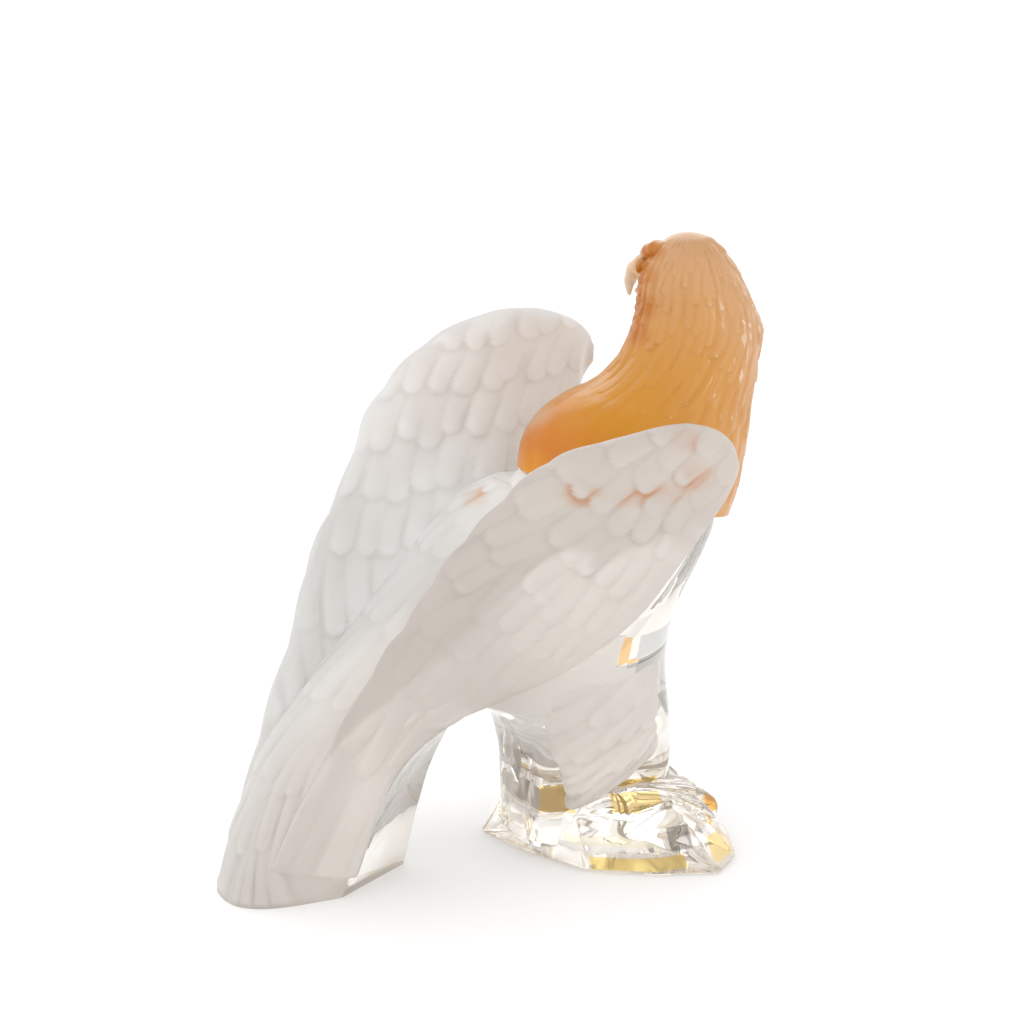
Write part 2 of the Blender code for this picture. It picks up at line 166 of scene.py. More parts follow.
# Breast, mantle, neck and crown: height at the middle, middle x, half length, half width, share of slope
MANTLE = (
    (163, 65.5, 48.8, 42, 1),
    (176, 68.5, 49, 43, 1),
    (189, 75, 45.5, 41, 1),
    (199, 82.5, 40.5, 37, 0.8),
    (206, 88, 37, 33, 0.45),
    (212, 92.5, 34.5, 31, 0.2),
    (220, 96.5, 31.5, 29.5, 0),
    (232, 100.8, 29.2, 28, 0),
    (246, 100.3, 25.1, 25, 0),
    (256, 98, 22.5, 23, 0),
    (266, 97, 17, 19, 0),
    (273, 97, 11, 13, 0),
    (276, 97, 5.5, 7, 0),
    (277, 97, 1.5, 2, 0),
)
MANTLE_GRID = (190, 240)
# How long the way round the neck is, and how far the seat under the breast falls and how wide its gap is
NECK_ARC = 188
SEAT_DROP = 27
SEAT_GAP = 0.3

# Head: which way it looks, in degrees from ahead, and its pieces as height, distance out, aside, half sizes
HEAD_TURN = 105
NECK_X = 97
BEAK = (
    (257, 8, 0, 14, 12),
    (257.5, 19, 0, 10.5, 9.6),
    (257.5, 28, 0, 6.8, 6.6),
    (254.5, 35.5, 0, 4.2, 4.2),
    (249, 38.8, 0, 2.6, 2.6),
    (243, 39, 0, 0.7, 0.8),
)
JAW = (
    (248, 10, 0, 8, 6),
    (247.5, 20, 0, 6.4, 4.4),
    (246.5, 28, 0, 4.8, 3.4),
    (246, 33.5, 0, 1.8, 1.4),
)
BROW = (
    (268, 2, 7.5, 5.5, 4),
    (269.6, 9, 9.4, 5, 3.8),
    (266.5, 17.5, 8.8, 3.8, 3.4),
    (262, 24, 5.5, 1.6, 1.4),
)
EYE = (
    (260.5, 13.5, 11.5, 0.6, 0.6),
    (261, 15, 12.2, 3.4, 3.2),
    (261, 18, 12.2, 3.4, 3.2),
    (260.5, 19.5, 11.5, 0.6, 0.6),
)
# Points round and steps along such a piece, and how high and how many its ripples are
HEAD_GRID = (24, 26)
HEAD_RIPPLE = (0.35, 5)

# Shoulders that carry the wings: x, y and height of the path, and half width and half height of the ring
SHOULDER = (
    (22, 29, 108, 21, 18),
    (34, 40, 126, 20, 20),
    (48, 52, 145, 15.5, 16),
    (60, 62.5, 160, 9.5, 9),
    (64, 69, 168, 3, 3),
)
SHOULDER_GRID = (24, 24)

# Thighs: height at the middle, middle x, half length, y of the middle, half width
THIGH = (
    (41, 45.5, 21.5, 31, 9),
    (50, 44, 21.5, 32, 11),
    (62, 41, 23.5, 33, 13),
    (76, 38.5, 25.5, 34, 15),
    (90, 35, 27.5, 36, 16),
    (101, 30, 28, 37, 15.5),
    (111, 27, 25, 35, 12),
    (119, 26, 16, 31, 6),
)
# How steeply its lowest level falls forwards
THIGH_SLOPE = 0.58
THIGH_GRID = (84, 84)

# Toes: angle from ahead, length share, and the path as distance out, height over the rock, half sizes
TOES = ((-24, 1.1), (-2, 1.0), (20, 0.85), (197, 0.5))
TOE = (
    (-7, 2, 8, 8),
    (14, 3, 5.4, 6),
    (28, 0.5, 4.8, 5.6),
    (38, -3, 4.2, 5),
    (45, -7, 2.2, 3),
    (47, -11.5, 0.8, 1),
)
ANKLE = (53, 30)
TOE_GRID = (18, 30)
TOE_RIPPLE = (0.2, 5)

# Rock: corners of its foot, x y, and the corners above them, x y and share of its height
ROCK_FOOT = (
    (5, 23), (13, -6), (28, -38), (55, -56), (82, -66), (97, -53), (109, -22), (109, 22), (86, 52), (40, 52),
)
ROCK_TOP = (
    (16, 20, 0.8), (18.5, -2, 0.88), (27, -30, 1), (50, -41, 1), (69, -42, 1.25),
    (81, -37, 1.1), (90, -14, 1.05), (90, 16, 1), (78, 36, 1), (42, 36, 0.9),
)
ROCK_MIDDLE = (62, -6)
# The pad under the feet, as shares of the top's reach and of the height, and its core as a share of its reach
ROCK_PAD = (0.8, 1.12)
ROCK_CORE = 0.3
ROCK_HEIGHT = 24
ROCK_CHAMFER = 2.2
# Points round an outline, how often it is rounded, and the rings in each band from one outline to the next
ROCK_SIDES = 200
ROCK_ROUNDING = 2
ROCK_BANDS = (2, 12, 4, 3)

# Which finish a face of the body takes, and the attribute that holds how high the carving stands: 0 in a
# crease, LEVEL where it is even, 1 on a crest. The finishes read it to paint shade in the creases and
# highlights on the crests
SATIN, CLEAR = 0, 1
CARVING = "carving"
LEVEL = 0.5
# How many rounds of neighbours give their height to the points that a union makes
SPREAD_ROUNDS = 6

# Feathers: how soft an outline is, how much lower a feather is at its sides, and how far each one strays
# from its row in place, heading, length and width, where the last two stop at so many times that
FEATHER_EDGE = 1.8
FEATHER_CROWN = 0.7
STRAY = (1.8, 4.5, 0.14, 0.08)
STRAY_MOST = 1.5
SEED = 7
# Heading of a feather that hangs straight down
DOWN = 270
# How many rows of random values make up a cloud
CLOUD_ROWS = 100
# Where along a path its ripples are highest, and how far they reach to either side
RIPPLE_SPAN = (0.4, 0.5)
# Edges that stay sharp in a skin: those that turn by more than this, in degrees
SHARP_ANGLE = 55
# How far round a point its height is compared, in grid steps, and how strongly the difference shows as
# painted shade in the creases and painted highlights on the crests
CREASE_STEPS = 4
CREASE_GAIN = 0.85


def linear(hex_colour):
    """An sRGB colour such as #C0A080 as linear red, green and blue."""
    shares = [int(hex_colour[i:i + 2], 16) / 255 for i in (1, 3, 5)]
    return tuple(each / 12.92 if each <= 0.04045 else ((each + 0.055) / 1.055) ** 2.4 for each in shares)


# Shapes that repeat: curves through a few rows, rings, and feathers


def through(table, at):
    """Values at the places at, on a smooth curve through a few rows. A row's first number is its place.

    Between two rows it is the cubic that has the values and the slopes of both.
    """
    rows = np.array(table, float)
    order = np.argsort(rows[:, 0])
    place, value = rows[order, 0], rows[order, 1:]
    slope = np.gradient(value, place, axis=0)
    at = np.clip(np.asarray(at, float), place[0], place[-1])
    low = np.clip(np.searchsorted(place, at, side="right") - 1, 0, len(place) - 2)
    gap = (place[low + 1] - place[low])[:, None]
    way = (at - place[low])[:, None] / gap
    rise = value[low + 1] - value[low]
    start, end = slope[low] * gap, slope[low + 1] * gap
    square, cube = 3 * rise - 2 * start - end, start + end - 2 * rise
    return value[low] + way * start + way**2 * square + way**3 * cube


def smooth(share):
    """A ramp from 0 to 1 with soft ends."""
    share = np.clip(share, 0, 1)
    return share * share * (3 - 2 * share)


def bell(place, centre, reach):
    """A smooth hump from 0 to 1, with its top at centre and its foot at reach to either side."""
    return np.clip(1 - ((place - centre) / reach) ** 2, 0, 1) ** 2


def feathers(across, up, lobes, round_trip=None):
    """Height from 0 to 1 of overlapping feathers over two flat coordinates.

    A lobe is a strip with a round tip at its x and z, which points along its heading. Its height grows from
    nothing at the root to 1 at the tip, is less at its sides, and drops over FEATHER_EDGE at the outline.
    Its root may sweep to one side. Where lobes overlap, the higher one shows.
    """
    across, up = np.broadcast_arrays(across, up)
    height = np.zeros(across.shape)
    for x, z, heading, length, half, sweep in lobes:
        cosine, sine = math.cos(math.radians(heading)), math.sin(math.radians(heading))
        ahead, above = across - x, up - z
        if round_trip:
            ahead = np.mod(ahead + round_trip / 2, round_trip) - round_trip / 2
        along = length + ahead * cosine + above * sine
        share = np.clip(along / length, 0, 1)
        aside = above * cosine - ahead * sine - sweep * (1 - share) ** 2
        past = np.clip(along - length + half, 0, None)
        inside = np.clip(1 - np.hypot(aside, past) / half, 0, 1)
        crown = 1 - FEATHER_CROWN * (1 - inside) ** 2
        height = np.maximum(height, smooth(inside * half / FEATHER_EDGE) * share * crown)
    return height


def clouds(across, up, lumps):
    """Soft random lumps from -1 to 1 over a share of the way round and a height in lump sizes.

    Seeded random values stand on a grid with so many places round, and the surface is eased between them.
    """
    across, up = np.broadcast_arrays(across * lumps, up)
    value = np.random.RandomState(SEED).uniform(-1, 1, (lumps, CLOUD_ROWS))
    column, row = np.floor(across).astype(int), np.floor(up).astype(int)
    aside, over = smooth(across - column), smooth(up - row)
    here, beside = column % lumps, (column + 1) % lumps
    below, above = row % CLOUD_ROWS, (row + 1) % CLOUD_ROWS
    low = value[here, below] * (1 - aside) + value[beside, below] * aside
    high = value[here, above] * (1 - aside) + value[beside, above] * aside
    return low * (1 - over) + high * over


def standing_out(height):
    """How far each point of a carved grid stands above those round it: LEVEL, or less in a crease."""
    mean = height
    for _ in range(CREASE_STEPS):
        for axis in (0, 1):
            mean = (np.roll(mean, 1, axis) + mean + np.roll(mean, -1, axis)) / 3
    return np.clip(LEVEL + CREASE_GAIN * (height - mean), 0, 1)


def strayed(lobes, share=1):
    """The same lobes, each a little off its place, heading, length and width. The draws are seeded."""
    lobes = np.array(lobes, float)
    draw = np.random.RandomState(SEED).normal(size=(len(lobes), 5)) * share
    lobes[:, :2] += STRAY[0] * draw[:, :2]
    lobes[:, 2] += STRAY[1] * draw[:, 2]
    lobes[:, 3] *= 1 + STRAY[2] * np.clip(draw[:, 3], -STRAY_MOST, STRAY_MOST)
    lobes[:, 4] *= 1 + STRAY[3] * np.clip(draw[:, 4], -STRAY_MOST, STRAY_MOST)
    return lobes


def solid(name, rings, finish=SATIN, carving=LEVEL):
    """A closed mesh over rings with as many points each: quads from ring to ring and a fan over each end.

    How far the carving stands out, from 0 to 1, is kept with the points, one higher so that 0 stays free.
    """
    rings = np.asarray(rings, float)
    count, size = rings.shape[:2]
    corner = np.arange(count * size).reshape(count, size)
    beside = np.roll(corner, -1, axis=1)
    sides = np.stack([corner[:-1], beside[:-1], beside[1:], corner[1:]], -1).reshape(-1, 4)
    middle = np.full(size, count * size)
    start = np.stack([beside[0], corner[0], middle], -1)
    end = np.stack([corner[-1], beside[-1], middle + 1], -1)
    points = np.concatenate([rings.reshape(-1, 3), rings[[0, -1]].mean(axis=1)])
    halves = np.concatenate([sides[:, :3], sides[:, [0, 2, 3]], start, end])
    faces = [sides, start, end]
    if np.linalg.det(points[halves]).sum() < 0:
        faces = [np.flip(group, axis=1) for group in faces]
    mesh = bpy.data.meshes.new(name)
    mesh.from_pydata((points - MIDDLE) * PART, [], [face for group in faces for face in group.tolist()])
    finish = np.broadcast_to(finish, (count - 1, size)).reshape(-1)
    finish = np.concatenate([finish, np.full(2 * size, finish[0])]).astype(np.int32)
    mesh.polygons.foreach_set("material_index", finish)
    carving = 1 + np.broadcast_to(carving, (count, size))
    carving = np.concatenate([carving.reshape(-1), carving[[0, -1]].mean(axis=1)]).astype(np.float32)
    mesh.attributes.new(CARVING, "FLOAT", "POINT").data.foreach_set("value", carving)
    piece = bpy.data.objects.new(name, mesh)
    bpy.context.scene.collection.objects.link(piece)
    return piece


def ellipses(middle, long, wide, height, slope, size, round_as=1):
    """Rings about the upright, on planes that fall forwards by their slopes. Less round is more square."""
    turn = np.linspace(0, 2 * np.pi, size, endpoint=False)
    power = np.broadcast_to(round_as, len(long))[:, None]
    ahead = long[:, None] * np.sign(np.cos(turn)) * np.abs(np.cos(turn)) ** power
    x = middle[:, 0:1] + ahead
    y = middle[:, 1:2] + wide[:, None] * np.sign(np.sin(turn)) * np.abs(np.sin(turn)) ** power
    z = height[:, None] - slope[:, None] * ahead
    return np.stack([x, y, z], -1)


def along(name, rows, grid, finish=SATIN, ripple=(0, 0)):
    """A closed tapering solid along a path in an upright plane, given as x, y, z and two half sizes.

    A ring lies across the path at each step. The grid holds its points and the steps. Its size can swell and
    shrink by a ripple's height, in so many waves.
    """
    size, steps = grid
    swell, waves = ripple
    place = np.linspace(0, len(rows) - 1, steps)
    values = through(np.column_stack([np.arange(len(rows)), rows]), place)
    path, wide, tall = values[:, :3], values[:, 3], values[:, 4]
    wave = swell * np.cos(2 * np.pi * waves * place / place[-1]) * bell(place / place[-1], *RIPPLE_SPAN)
    run = np.gradient(path, axis=0)
    level = np.cross([0, 0, 1], path[-1] - path[0])
    aside = np.tile(level / np.linalg.norm(level), (steps, 1))
    up = np.cross(run, aside)
    up /= np.linalg.norm(up, axis=1, keepdims=True)
    turn = np.linspace(0, 2 * np.pi, size, endpoint=False)[None, :, None]
    rings = path[:, None] + aside[:, None] * (wide + wave)[:, None, None] * np.cos(turn)
    return solid(name, rings + up[:, None] * (tall + wave)[:, None, None] * np.sin(turn), finish)


def spread_carving(mesh):
    """Gives points that a union made, which have no carving height, the mean of their neighbours' heights.

    A height is kept one higher than it is, so whatever lies under a half has none.
    """
    ends = np.empty(2 * len(mesh.edges), np.int32)
    mesh.edges.foreach_get("vertices", ends)
    ends = ends.reshape(-1, 2)
    height = np.empty(len(mesh.vertices), np.float32)
    mesh.attributes[CARVING].data.foreach_get("value", height)
    for _ in range(SPREAD_ROUNDS):
        known = (height > 0.5).astype(float)
        total, share = np.zeros(len(height)), np.zeros(len(height))
        for here, there in (ends.T, ends.T[::-1]):
            np.add.at(total, here, height[there] * known[there])
            np.add.at(share, here, known[there])
        height = np.where(known > 0, height, total / np.maximum(share, 1))
    mesh.attributes[CARVING].data.foreach_set("value", (height - 1).astype(np.float32))


def fuse(name, solids, finishes):
    """One skin from overlapping solids, smooth but for its sharp edges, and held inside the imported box."""
    for each in solids:
        for finish in finishes:
            each.data.materials.append(finish)
    for other in solids[1:]:
        union = solids[0].modifiers.new(other.name, "BOOLEAN")
        union.operation = "UNION"
        union.solver = "MANIFOLD"
        union.object = other
    graph = bpy.context.evaluated_depsgraph_get()
    mesh = bpy.data.meshes.new_from_object(solids[0].evaluated_get(graph))
    mesh.name = name
    for each in solids:
        bpy.data.meshes.remove(each.data)
    points = np.empty(len(mesh.vertices) * 3)
    mesh.vertices.foreach_get("co", points)
    points = np.clip(points.reshape(-1, 3), CAD_LOW + BOX_MARGIN, CAD_HIGH - BOX_MARGIN)
    mesh.vertices.foreach_set("co", points.reshape(-1))
    spread_carving(mesh)
    mesh.shade_smooth()
    mesh.set_sharp_from_angle(angle=math.radians(SHARP_ANGLE))
    mesh.update()
    skin = bpy.data.objects.new(name, mesh)
    bpy.context.scene.collection.objects.link(skin)
    return skin


# Wings

# Rows of coverts on an outer face: place along the wing, length, half width, heading at the leading edge
# and at the trailing edge
COVERT_ROWS = (
    (0.13, 22, 5.4, 238, 200),
    (0.21, 26, 5.6, 240, 197),
    (0.29, 28, 5.8, 244, 193),
    (0.37, 30, 5.8, 247, 192),
    (0.45, 31, 5.8, 248, 196),
    (0.53, 31, 5.8, 247, 203),
    (0.61, 32, 5.8, 243, 210),
    (0.69, 36, 5.8, 238, 220),
    (0.78, 44, 5.6, 236, 230),
    (0.88, 52, 5.4, 242, 238),
    (1.02, 60, 5.2, 252, 246),
)
COVERT_PITCH = 10.4
# How far the middle of a row reaches past its ends
COVERT_BOW = 6
# Over which share of the way across feathers grow in from the leading edge, what is left of them there, and
# over which share of the wing's length they grow in from the wrist
COVERT_BAND = (0.08, 0.26)
BAND_LEFT = 0.1
WRIST_BAND = 0.12
# Heights between which an outer face turns smoother, and the share of its carving that is left below
SMOOTHER = (95, 165, 0.5)

# Rows of feathers on an inner face: height of the tips under the wing's top, length, half width, heading and
# sweep of the root; and the pitch in a row, and the x from which to which it runs
INNER_ROWS = (
    (12, 16, 6.6, 232, 0),
    (34, 27, 6.8, 240, 0),
    (57, 29, 6.9, 244, 0),
    (80, 31, 6.9, 248, 0),
    (104, 34, 6.9, 253, 2),
    (134, 46, 6.6, 266, 6),
    (168, 60, 6.4, 276, 10),
    (206, 70, 6.2, 274, 8),
    (232, 60, 6.0, 268, 4),
)
INNER_PITCH = 12.5
INNER_REACH = (-130, 100)
# Soft lumps of a wing: size, height, and the length that they fill before they repeat
WING_LUMPS = (15, 0.9, 1000)


def wing_surface(table, side, along_steps, across_steps):
    """Middle surface of a wing, the way out of it, and half its thickness, on a grid of two shares."""
    places = np.linspace(0, 1, along_steps + 1)
    turn = np.linspace(0, 1, across_steps + 1)
    across = WING_EVENNESS * turn + (1 - WING_EVENNESS) / 2 * (1 - np.cos(np.pi * turn))
    values = through(table, places)
    lead, trail = values[:, None, 0:3], values[:, None, 3:6]
    thick, bulge = values[:, 6], values[:, 7]
    depth, waves, start, grow, power = SCALLOPS
    scallop = depth * np.abs(np.sin(np.pi * places * waves)) * smooth((places - start) / grow)
    chord = trail - lead
    reach = across + scallop[:, None] * across**power / np.linalg.norm(chord, axis=-1)
    middle = lead + chord * reach[..., None]
    middle[:, :, 1] += side * bulge[:, None] * 4 * across * (1 - across)
    out = np.cross(np.gradient(middle, axis=0), np.gradient(middle, axis=1))
    out *= np.sign(out[..., 1:2]) * side / np.linalg.norm(out, axis=-1, keepdims=True)
    edge = np.sqrt(np.clip(1 - np.abs(2 * across - 1) ** WING_EDGE_POWER, 0, 1))
    taper = np.sqrt(1 - (1 - np.clip(places / WRIST_TAPER, WRIST_START, 1)) ** 2)
    half = WING_THICKNESS / 2 * (thick * taper)[:, None] * edge
    return places, across, middle, out, half


def covert_lobes(table):
    """Lobes of an outer face, in staggered rows across the wing that fan from one edge to the other."""
    lobes = []
    for number, (place, length, half, heading_lead, heading_trail) in enumerate(COVERT_ROWS):
        x0, _, z0, x1, _, z1 = through(table, [place])[0, :6]
        count = max(3, round(math.hypot(x1 - x0, z1 - z0) / COVERT_PITCH))
        for step in range(count + 1):
            share = (step + 0.5 * (number % 2)) / count
            lag = COVERT_BOW * math.sin(math.pi * share)
            heading = heading_lead + (heading_trail - heading_lead) * share
            tip_x = x0 + (x1 - x0) * share + lag * math.cos(math.radians(heading))
            tip_z = z0 + (z1 - z0) * share + lag * math.sin(math.radians(heading))
            lobes.append((tip_x, tip_z, heading, length, half, 0))
    return strayed(lobes)


def inner_lobes(top):
    """Lobes of an inner face, in level rows below its top, short above and long and swept below."""
    lobes = []
    for number, (below, length, half, heading, sweep) in enumerate(INNER_ROWS):
        for x in np.arange(*INNER_REACH, INNER_PITCH):
            lobes.append((x + INNER_PITCH / 2 * (number % 2), top - below, heading, length, half, sweep))
    return strayed(lobes)


def wing(name, table, side, relief):
    """A curved leaf from the wrist to the tip, with coverts outside and longer rows inside."""
    places, across, middle, out, half = wing_surface(table, side, *WING_GRID)
    x, z = middle[..., 0], middle[..., 2]
    band = smooth((across - COVERT_BAND[0]) / (COVERT_BAND[1] - COVERT_BAND[0]))
    grown = BAND_LEFT + (1 - BAND_LEFT) * band
    thick = np.clip(half / half.max() * 2, 0, 1) * smooth(places / WRIST_BAND)[:, None]
    low, high, left = SMOOTHER
    worn = left + (1 - left) * smooth((z - low) / (high - low))
    coverts = feathers(x, z, covert_lobes(table)) * thick * grown * worn
    inner = feathers(x, z, inner_lobes(max(row[6] for row in table))) * thick * grown
    root = bell(places, *ROOT_ALONG)[:, None] * bell(across, *ROOT_ACROSS) * WING_ROOT
    size, height, span = WING_LUMPS
    lumps = height * clouds(x / span + 0.5, z / size, round(span / size)) * thick * band
    outer_face = middle + out * (half + relief * coverts + lumps)[..., None]
    inner_face = middle - out * (half + relief * inner + root - lumps)[..., None]
    shown = LEVEL + (standing_out(coverts) - LEVEL) * worn
    carving = np.concatenate([shown, standing_out(inner)[:, -2:0:-1]], axis=1)
    return solid(name, np.concatenate([outer_face, inner_face[:, -2:0:-1]], axis=1), SATIN, carving)


# Back, tail, trunk, shoulders and legs

# Rows of tail feathers: height of the tips, length, half width, sweep of the root
TAIL_FEATHERS = (
    (160, 22, 6.6, 0),
    (148, 28, 6.4, 1),
    (136, 34, 6.2, 2),
    (108, 44, 6.0, 4),
    (80, 54, 5.8, 6),
    (50, 62, 5.6, 7),
    (20, 66, 5.2, 7),
    (-6, 70, 4.6, 5),
)
TAIL_PITCH = 11
# How far the tail's feathers fan out, in degrees for each part aside from its middle
TAIL_FAN = 0.6

# Rows of strands on a thigh, broad above and narrow below: height of the tips, length, half width
THIGH_STRANDS = ((100, 60, 6.4), (80, 56, 6.0), (61, 44, 5.0), (47, 28, 2.8), (38, 24, 2.4))
# Drops on the leg block: x, y and height of the path, and half width and half height of the ring
DRIPS = (
    (3, -8, 73, 2.5, 2),
    (4.5, -8, 68, 4.4, 3.6),
    (6.5, -7, 62, 3.4, 2.6),
    (8, -6, 56, 4.6, 3.8),
    (9, -6, 50, 5.6, 4.8),
    (10, -6, 44, 4, 3),
    (10.5, -6, 39, 2.4, 1.8),
    (11, -6, 35, 0.8, 0.6),
)
DRIP_GRID = (20, 40)
# Heading and sweep of the strands, how far apart they lie in half widths, and from which x to which they run
THIGH_HEADING = 222
THIGH_SWEEP = 3
THIGH_GAP = 1.9
THIGH_REACH = (-6, 90)
# How much a row of strands rises for each part forwards, and the x where it has its height
THIGH_RISE = (0.45, 40)
# Painted light on the thighs, which lie in the wing's shade: how much lighter a thigh is shown, as a share
# of the carving height
THIGH_PAINTED_LIGHT = 0.2


def tail(relief):
    """Back and tail: broad and feathered behind, and drawn to a clear wedge in front."""
    rings, columns, wedge = TAIL_GRID
    heights = np.linspace(0, TAIL[-1][0], rings)
    rear, front, wide, shift = through(TAIL, heights).T
    ridge = rear + (front - rear) * BACK_RIDGE
    share = np.arange(columns + 1) / columns
    turn = np.pi * (share - 0.5)
    behind = np.abs(np.cos(turn)) ** BACK_FULLNESS
    aside = np.sign(turn) * np.abs(np.sin(turn)) ** BACK_SQUARENESS
    lobes = []
    for number, (tip, length, half, sweep) in enumerate(TAIL_FEATHERS):
        for place in np.arange(-TAIL_ARC / 2, TAIL_ARC / 2 + 1, TAIL_PITCH):
            place += TAIL_PITCH / 2 * (number % 2)
            lobes.append((place, tip, DOWN + TAIL_FAN * place, length, half, math.copysign(sweep, -place)))
    carving = feathers((share - 0.5)[None, :] * TAIL_ARC, heights[:, None], strayed(lobes))
    carving *= smooth(heights / TAIL_RIM)[:, None]
    x = ridge[:, None] + (rear - ridge)[:, None] * behind - relief * carving * behind
    y = shift[:, None] + wide[:, None] * aside + relief * carving * aside
    before = np.linspace(1, -1, wedge + 1)[1:-1]
    x = np.concatenate([x, front[:, None] - (front - ridge)[:, None] * np.abs(before)], axis=1)
    y = np.concatenate([y, shift[:, None] + wide[:, None] * before], axis=1)
    z = np.repeat(heights[:, None], x.shape[1], axis=1)
    carving = np.concatenate([standing_out(carving), np.full((rings, wedge - 1), LEVEL)], axis=1)
    finish = np.where(np.arange(x.shape[1]) < columns, SATIN, CLEAR)
    return solid("back_and_tail", np.stack([x, y, z], -1), finish, carving)


def seat_slope():
    """Fall of the seat for each part forwards, from its drop over its length."""
    return SEAT_DROP / (2 * MANTLE[0][2])


def trunk():
    """The trunk from the rock up to the seat, which slopes: etched at its upper rear and clear elsewhere."""
    rings, sides = BODY_GRID
    levels = np.linspace(BODY[0][0], BODY[-1][0], rings)
    rear, front, wide, share, round_as = through(BODY, levels).T
    middle = np.stack([(rear + front) / 2, 0 * rear], -1)
    form = ellipses(middle, (front - rear) / 2, wide, levels, share * seat_slope(), sides, round_as)
    x, z = form[:-1, :, 0], form[:-1, :, 2]
    above, behind, limit, lean = TRUNK_ETCHED
    etched = (z > above) & ((x < behind) | (x + lean * z < limit))
    return solid("trunk", form, np.where(etched, SATIN, CLEAR), TRUNK_SHOWN)


def shoulder(name, side):
    """The arm of a wing, from the breast up into the wrist."""
    rows = np.array(SHOULDER, float)
    rows[:, 1] *= side
    return along(name, rows, SHOULDER_GRID, CLEAR)


def thigh(name, side, relief):
    """A feathered leg that narrows to the foot, carved with narrow strands that hang back and down."""
    rings, size = THIGH_GRID
    levels = np.linspace(THIGH[0][0], THIGH[-1][0], rings)
    middle, long, aside, wide = through(THIGH, levels).T
    slope = THIGH_SLOPE * (np.linspace(0, 1, rings) - 1)
    form = ellipses(np.stack([middle, side * aside], -1), long, wide, levels, slope, size)
    lobes = []
    for number, (tip, length, half) in enumerate(THIGH_STRANDS):
        for place in np.arange(*THIGH_REACH, THIGH_GAP * half):
            place += THIGH_GAP / 2 * half * (number % 2)
            height = tip + THIGH_RISE[0] * (place - THIGH_RISE[1])
            lobes.append((place, height, THIGH_HEADING, length, half, THIGH_SWEEP))
    carving = feathers(form[..., 0], form[..., 2], strayed(lobes))
    turn = np.linspace(0, 2 * np.pi, size, endpoint=False)
    form[..., 0] += relief * carving * np.cos(turn)
    form[..., 1] += relief * carving * np.sin(turn)
    # The thigh is painted lighter, as painted light, by raising its carving height
    return solid(name, form, SATIN, np.clip(standing_out(carving) + THIGH_PAINTED_LIGHT, 0, 1))


def drips():
    """A string of clear drops that runs down the rear of the leg block."""
    return along("drips", DRIPS, DRIP_GRID, CLEAR)


def toes(side):
    """Three toes forwards and one back, each arched over the rock in soft rings and ending in a claw."""
    out, over, wide, tall = np.array(TOE, float).T
    solids = []
    for number, (turn, share) in enumerate(TOES):
        ahead = np.radians(turn)
        x = ANKLE[0] + share * out * np.cos(ahead)
        y = side * (ANKLE[1] + share * out * np.sin(ahead))
        name = f"{'left' if side > 0 else 'right'}_toe_{number + 1}"
        rows = np.stack([x, y, ROCK_HEIGHT + over, wide, tall], -1)
        solids.append(along(name, rows, TOE_GRID, CLEAR, TOE_RIPPLE))
    return solids


def rock():
    """A low clear boulder with leaning flat faces, flat below, with a chamfer round its foot.

    Each of its outlines runs from corner to corner in equal steps, and its corners are rounded a little by
    averaging each point with its neighbours. Flat bands of a few rings join the outlines.
    """
    foot, top = np.array(ROCK_FOOT, float), np.array(ROCK_TOP, float)
    out = foot - ROCK_MIDDLE
    inset = foot - ROCK_CHAMFER * out / np.linalg.norm(out, axis=1, keepdims=True)
    top[:, 2] = ROCK_CHAMFER + top[:, 2] * (ROCK_HEIGHT - ROCK_CHAMFER)
    level = np.zeros(len(foot))
    pad = ROCK_MIDDLE + ROCK_PAD[0] * (top[:, :2] - ROCK_MIDDLE)
    core = ROCK_MIDDLE + ROCK_CORE * (pad - ROCK_MIDDLE)
    above = level + ROCK_PAD[1] * ROCK_HEIGHT
    corners = [(inset, level), (foot, level + ROCK_CHAMFER), (top[:, :2], top[:, 2])]
    corners += [(pad, above), (core, above)]
    place = np.linspace(0, len(foot), ROCK_SIDES, endpoint=False)
    outlines = []
    for flat, height in corners:
        closed = np.column_stack([flat, height])
        closed = np.concatenate([closed, closed[:1]])
        outline = np.column_stack([np.interp(place, range(len(closed)), line) for line in closed.T])
        for _ in range(ROCK_ROUNDING):
            outline = (np.roll(outline, 1, axis=0) + 2 * outline + np.roll(outline, -1, axis=0)) / 4
        outlines.append(outline)
    form = outlines[:1]
    for low, high, count in zip(outlines, outlines[1:], ROCK_BANDS):
        form += [low + (high - low) * share for share in np.linspace(0, 1, count + 1)[1:]]
    return solid("rock", form, CLEAR)


# Mantle and head

# Rows of feathers down from the crown: height of the tips, pitch, length, half width
HACKLE_ROWS = (
    (272, 5.0, 6, 2.8),
    (267, 5.0, 8, 2.8),
    (261, 5.2, 11, 2.9),
    (253, 5.4, 16, 3.0),
    (244, 5.6, 22, 3.0),
    (234, 5.8, 28, 3.1),
    (222, 6.0, 34, 3.1),
    (208, 6.2, 38, 3.2),
    (193, 6.4, 42, 3.3),
    (176, 6.6, 44, 3.4),
    (158, 6.8, 44, 3.5),
)
# How far the hackles sweep back on the sides of the neck, in degrees, and over which heights that grows
HACKLE_SWEEP = 20
SWEPT = (188, 232)
# How far a hackle may hang above or below its row, as a share of its length, how many degrees turn its root
# aside by one part, and how much of the usual straying it has
HACKLE_DROP = 0.15
HACKLE_TURN = 8
HACKLE_STRAY = 0.5
# Below which height the breast is bare, and over how much the hackles grow in above it, and fade at the rim
# and at the top
BARE_BREAST = (176, 44)
HACKLE_FADE = (12, 3)
# Small scales on the throat, on the side that the bird looks to: heights of the tips from, to and step,
# shares of the way round, and pitch, length and half width
THROAT_ROWS = (228, 258, 4.2)
THROAT_SIDE = (0.22, 0.5)
THROAT_SCALE = (4.4, 7, 2.3)
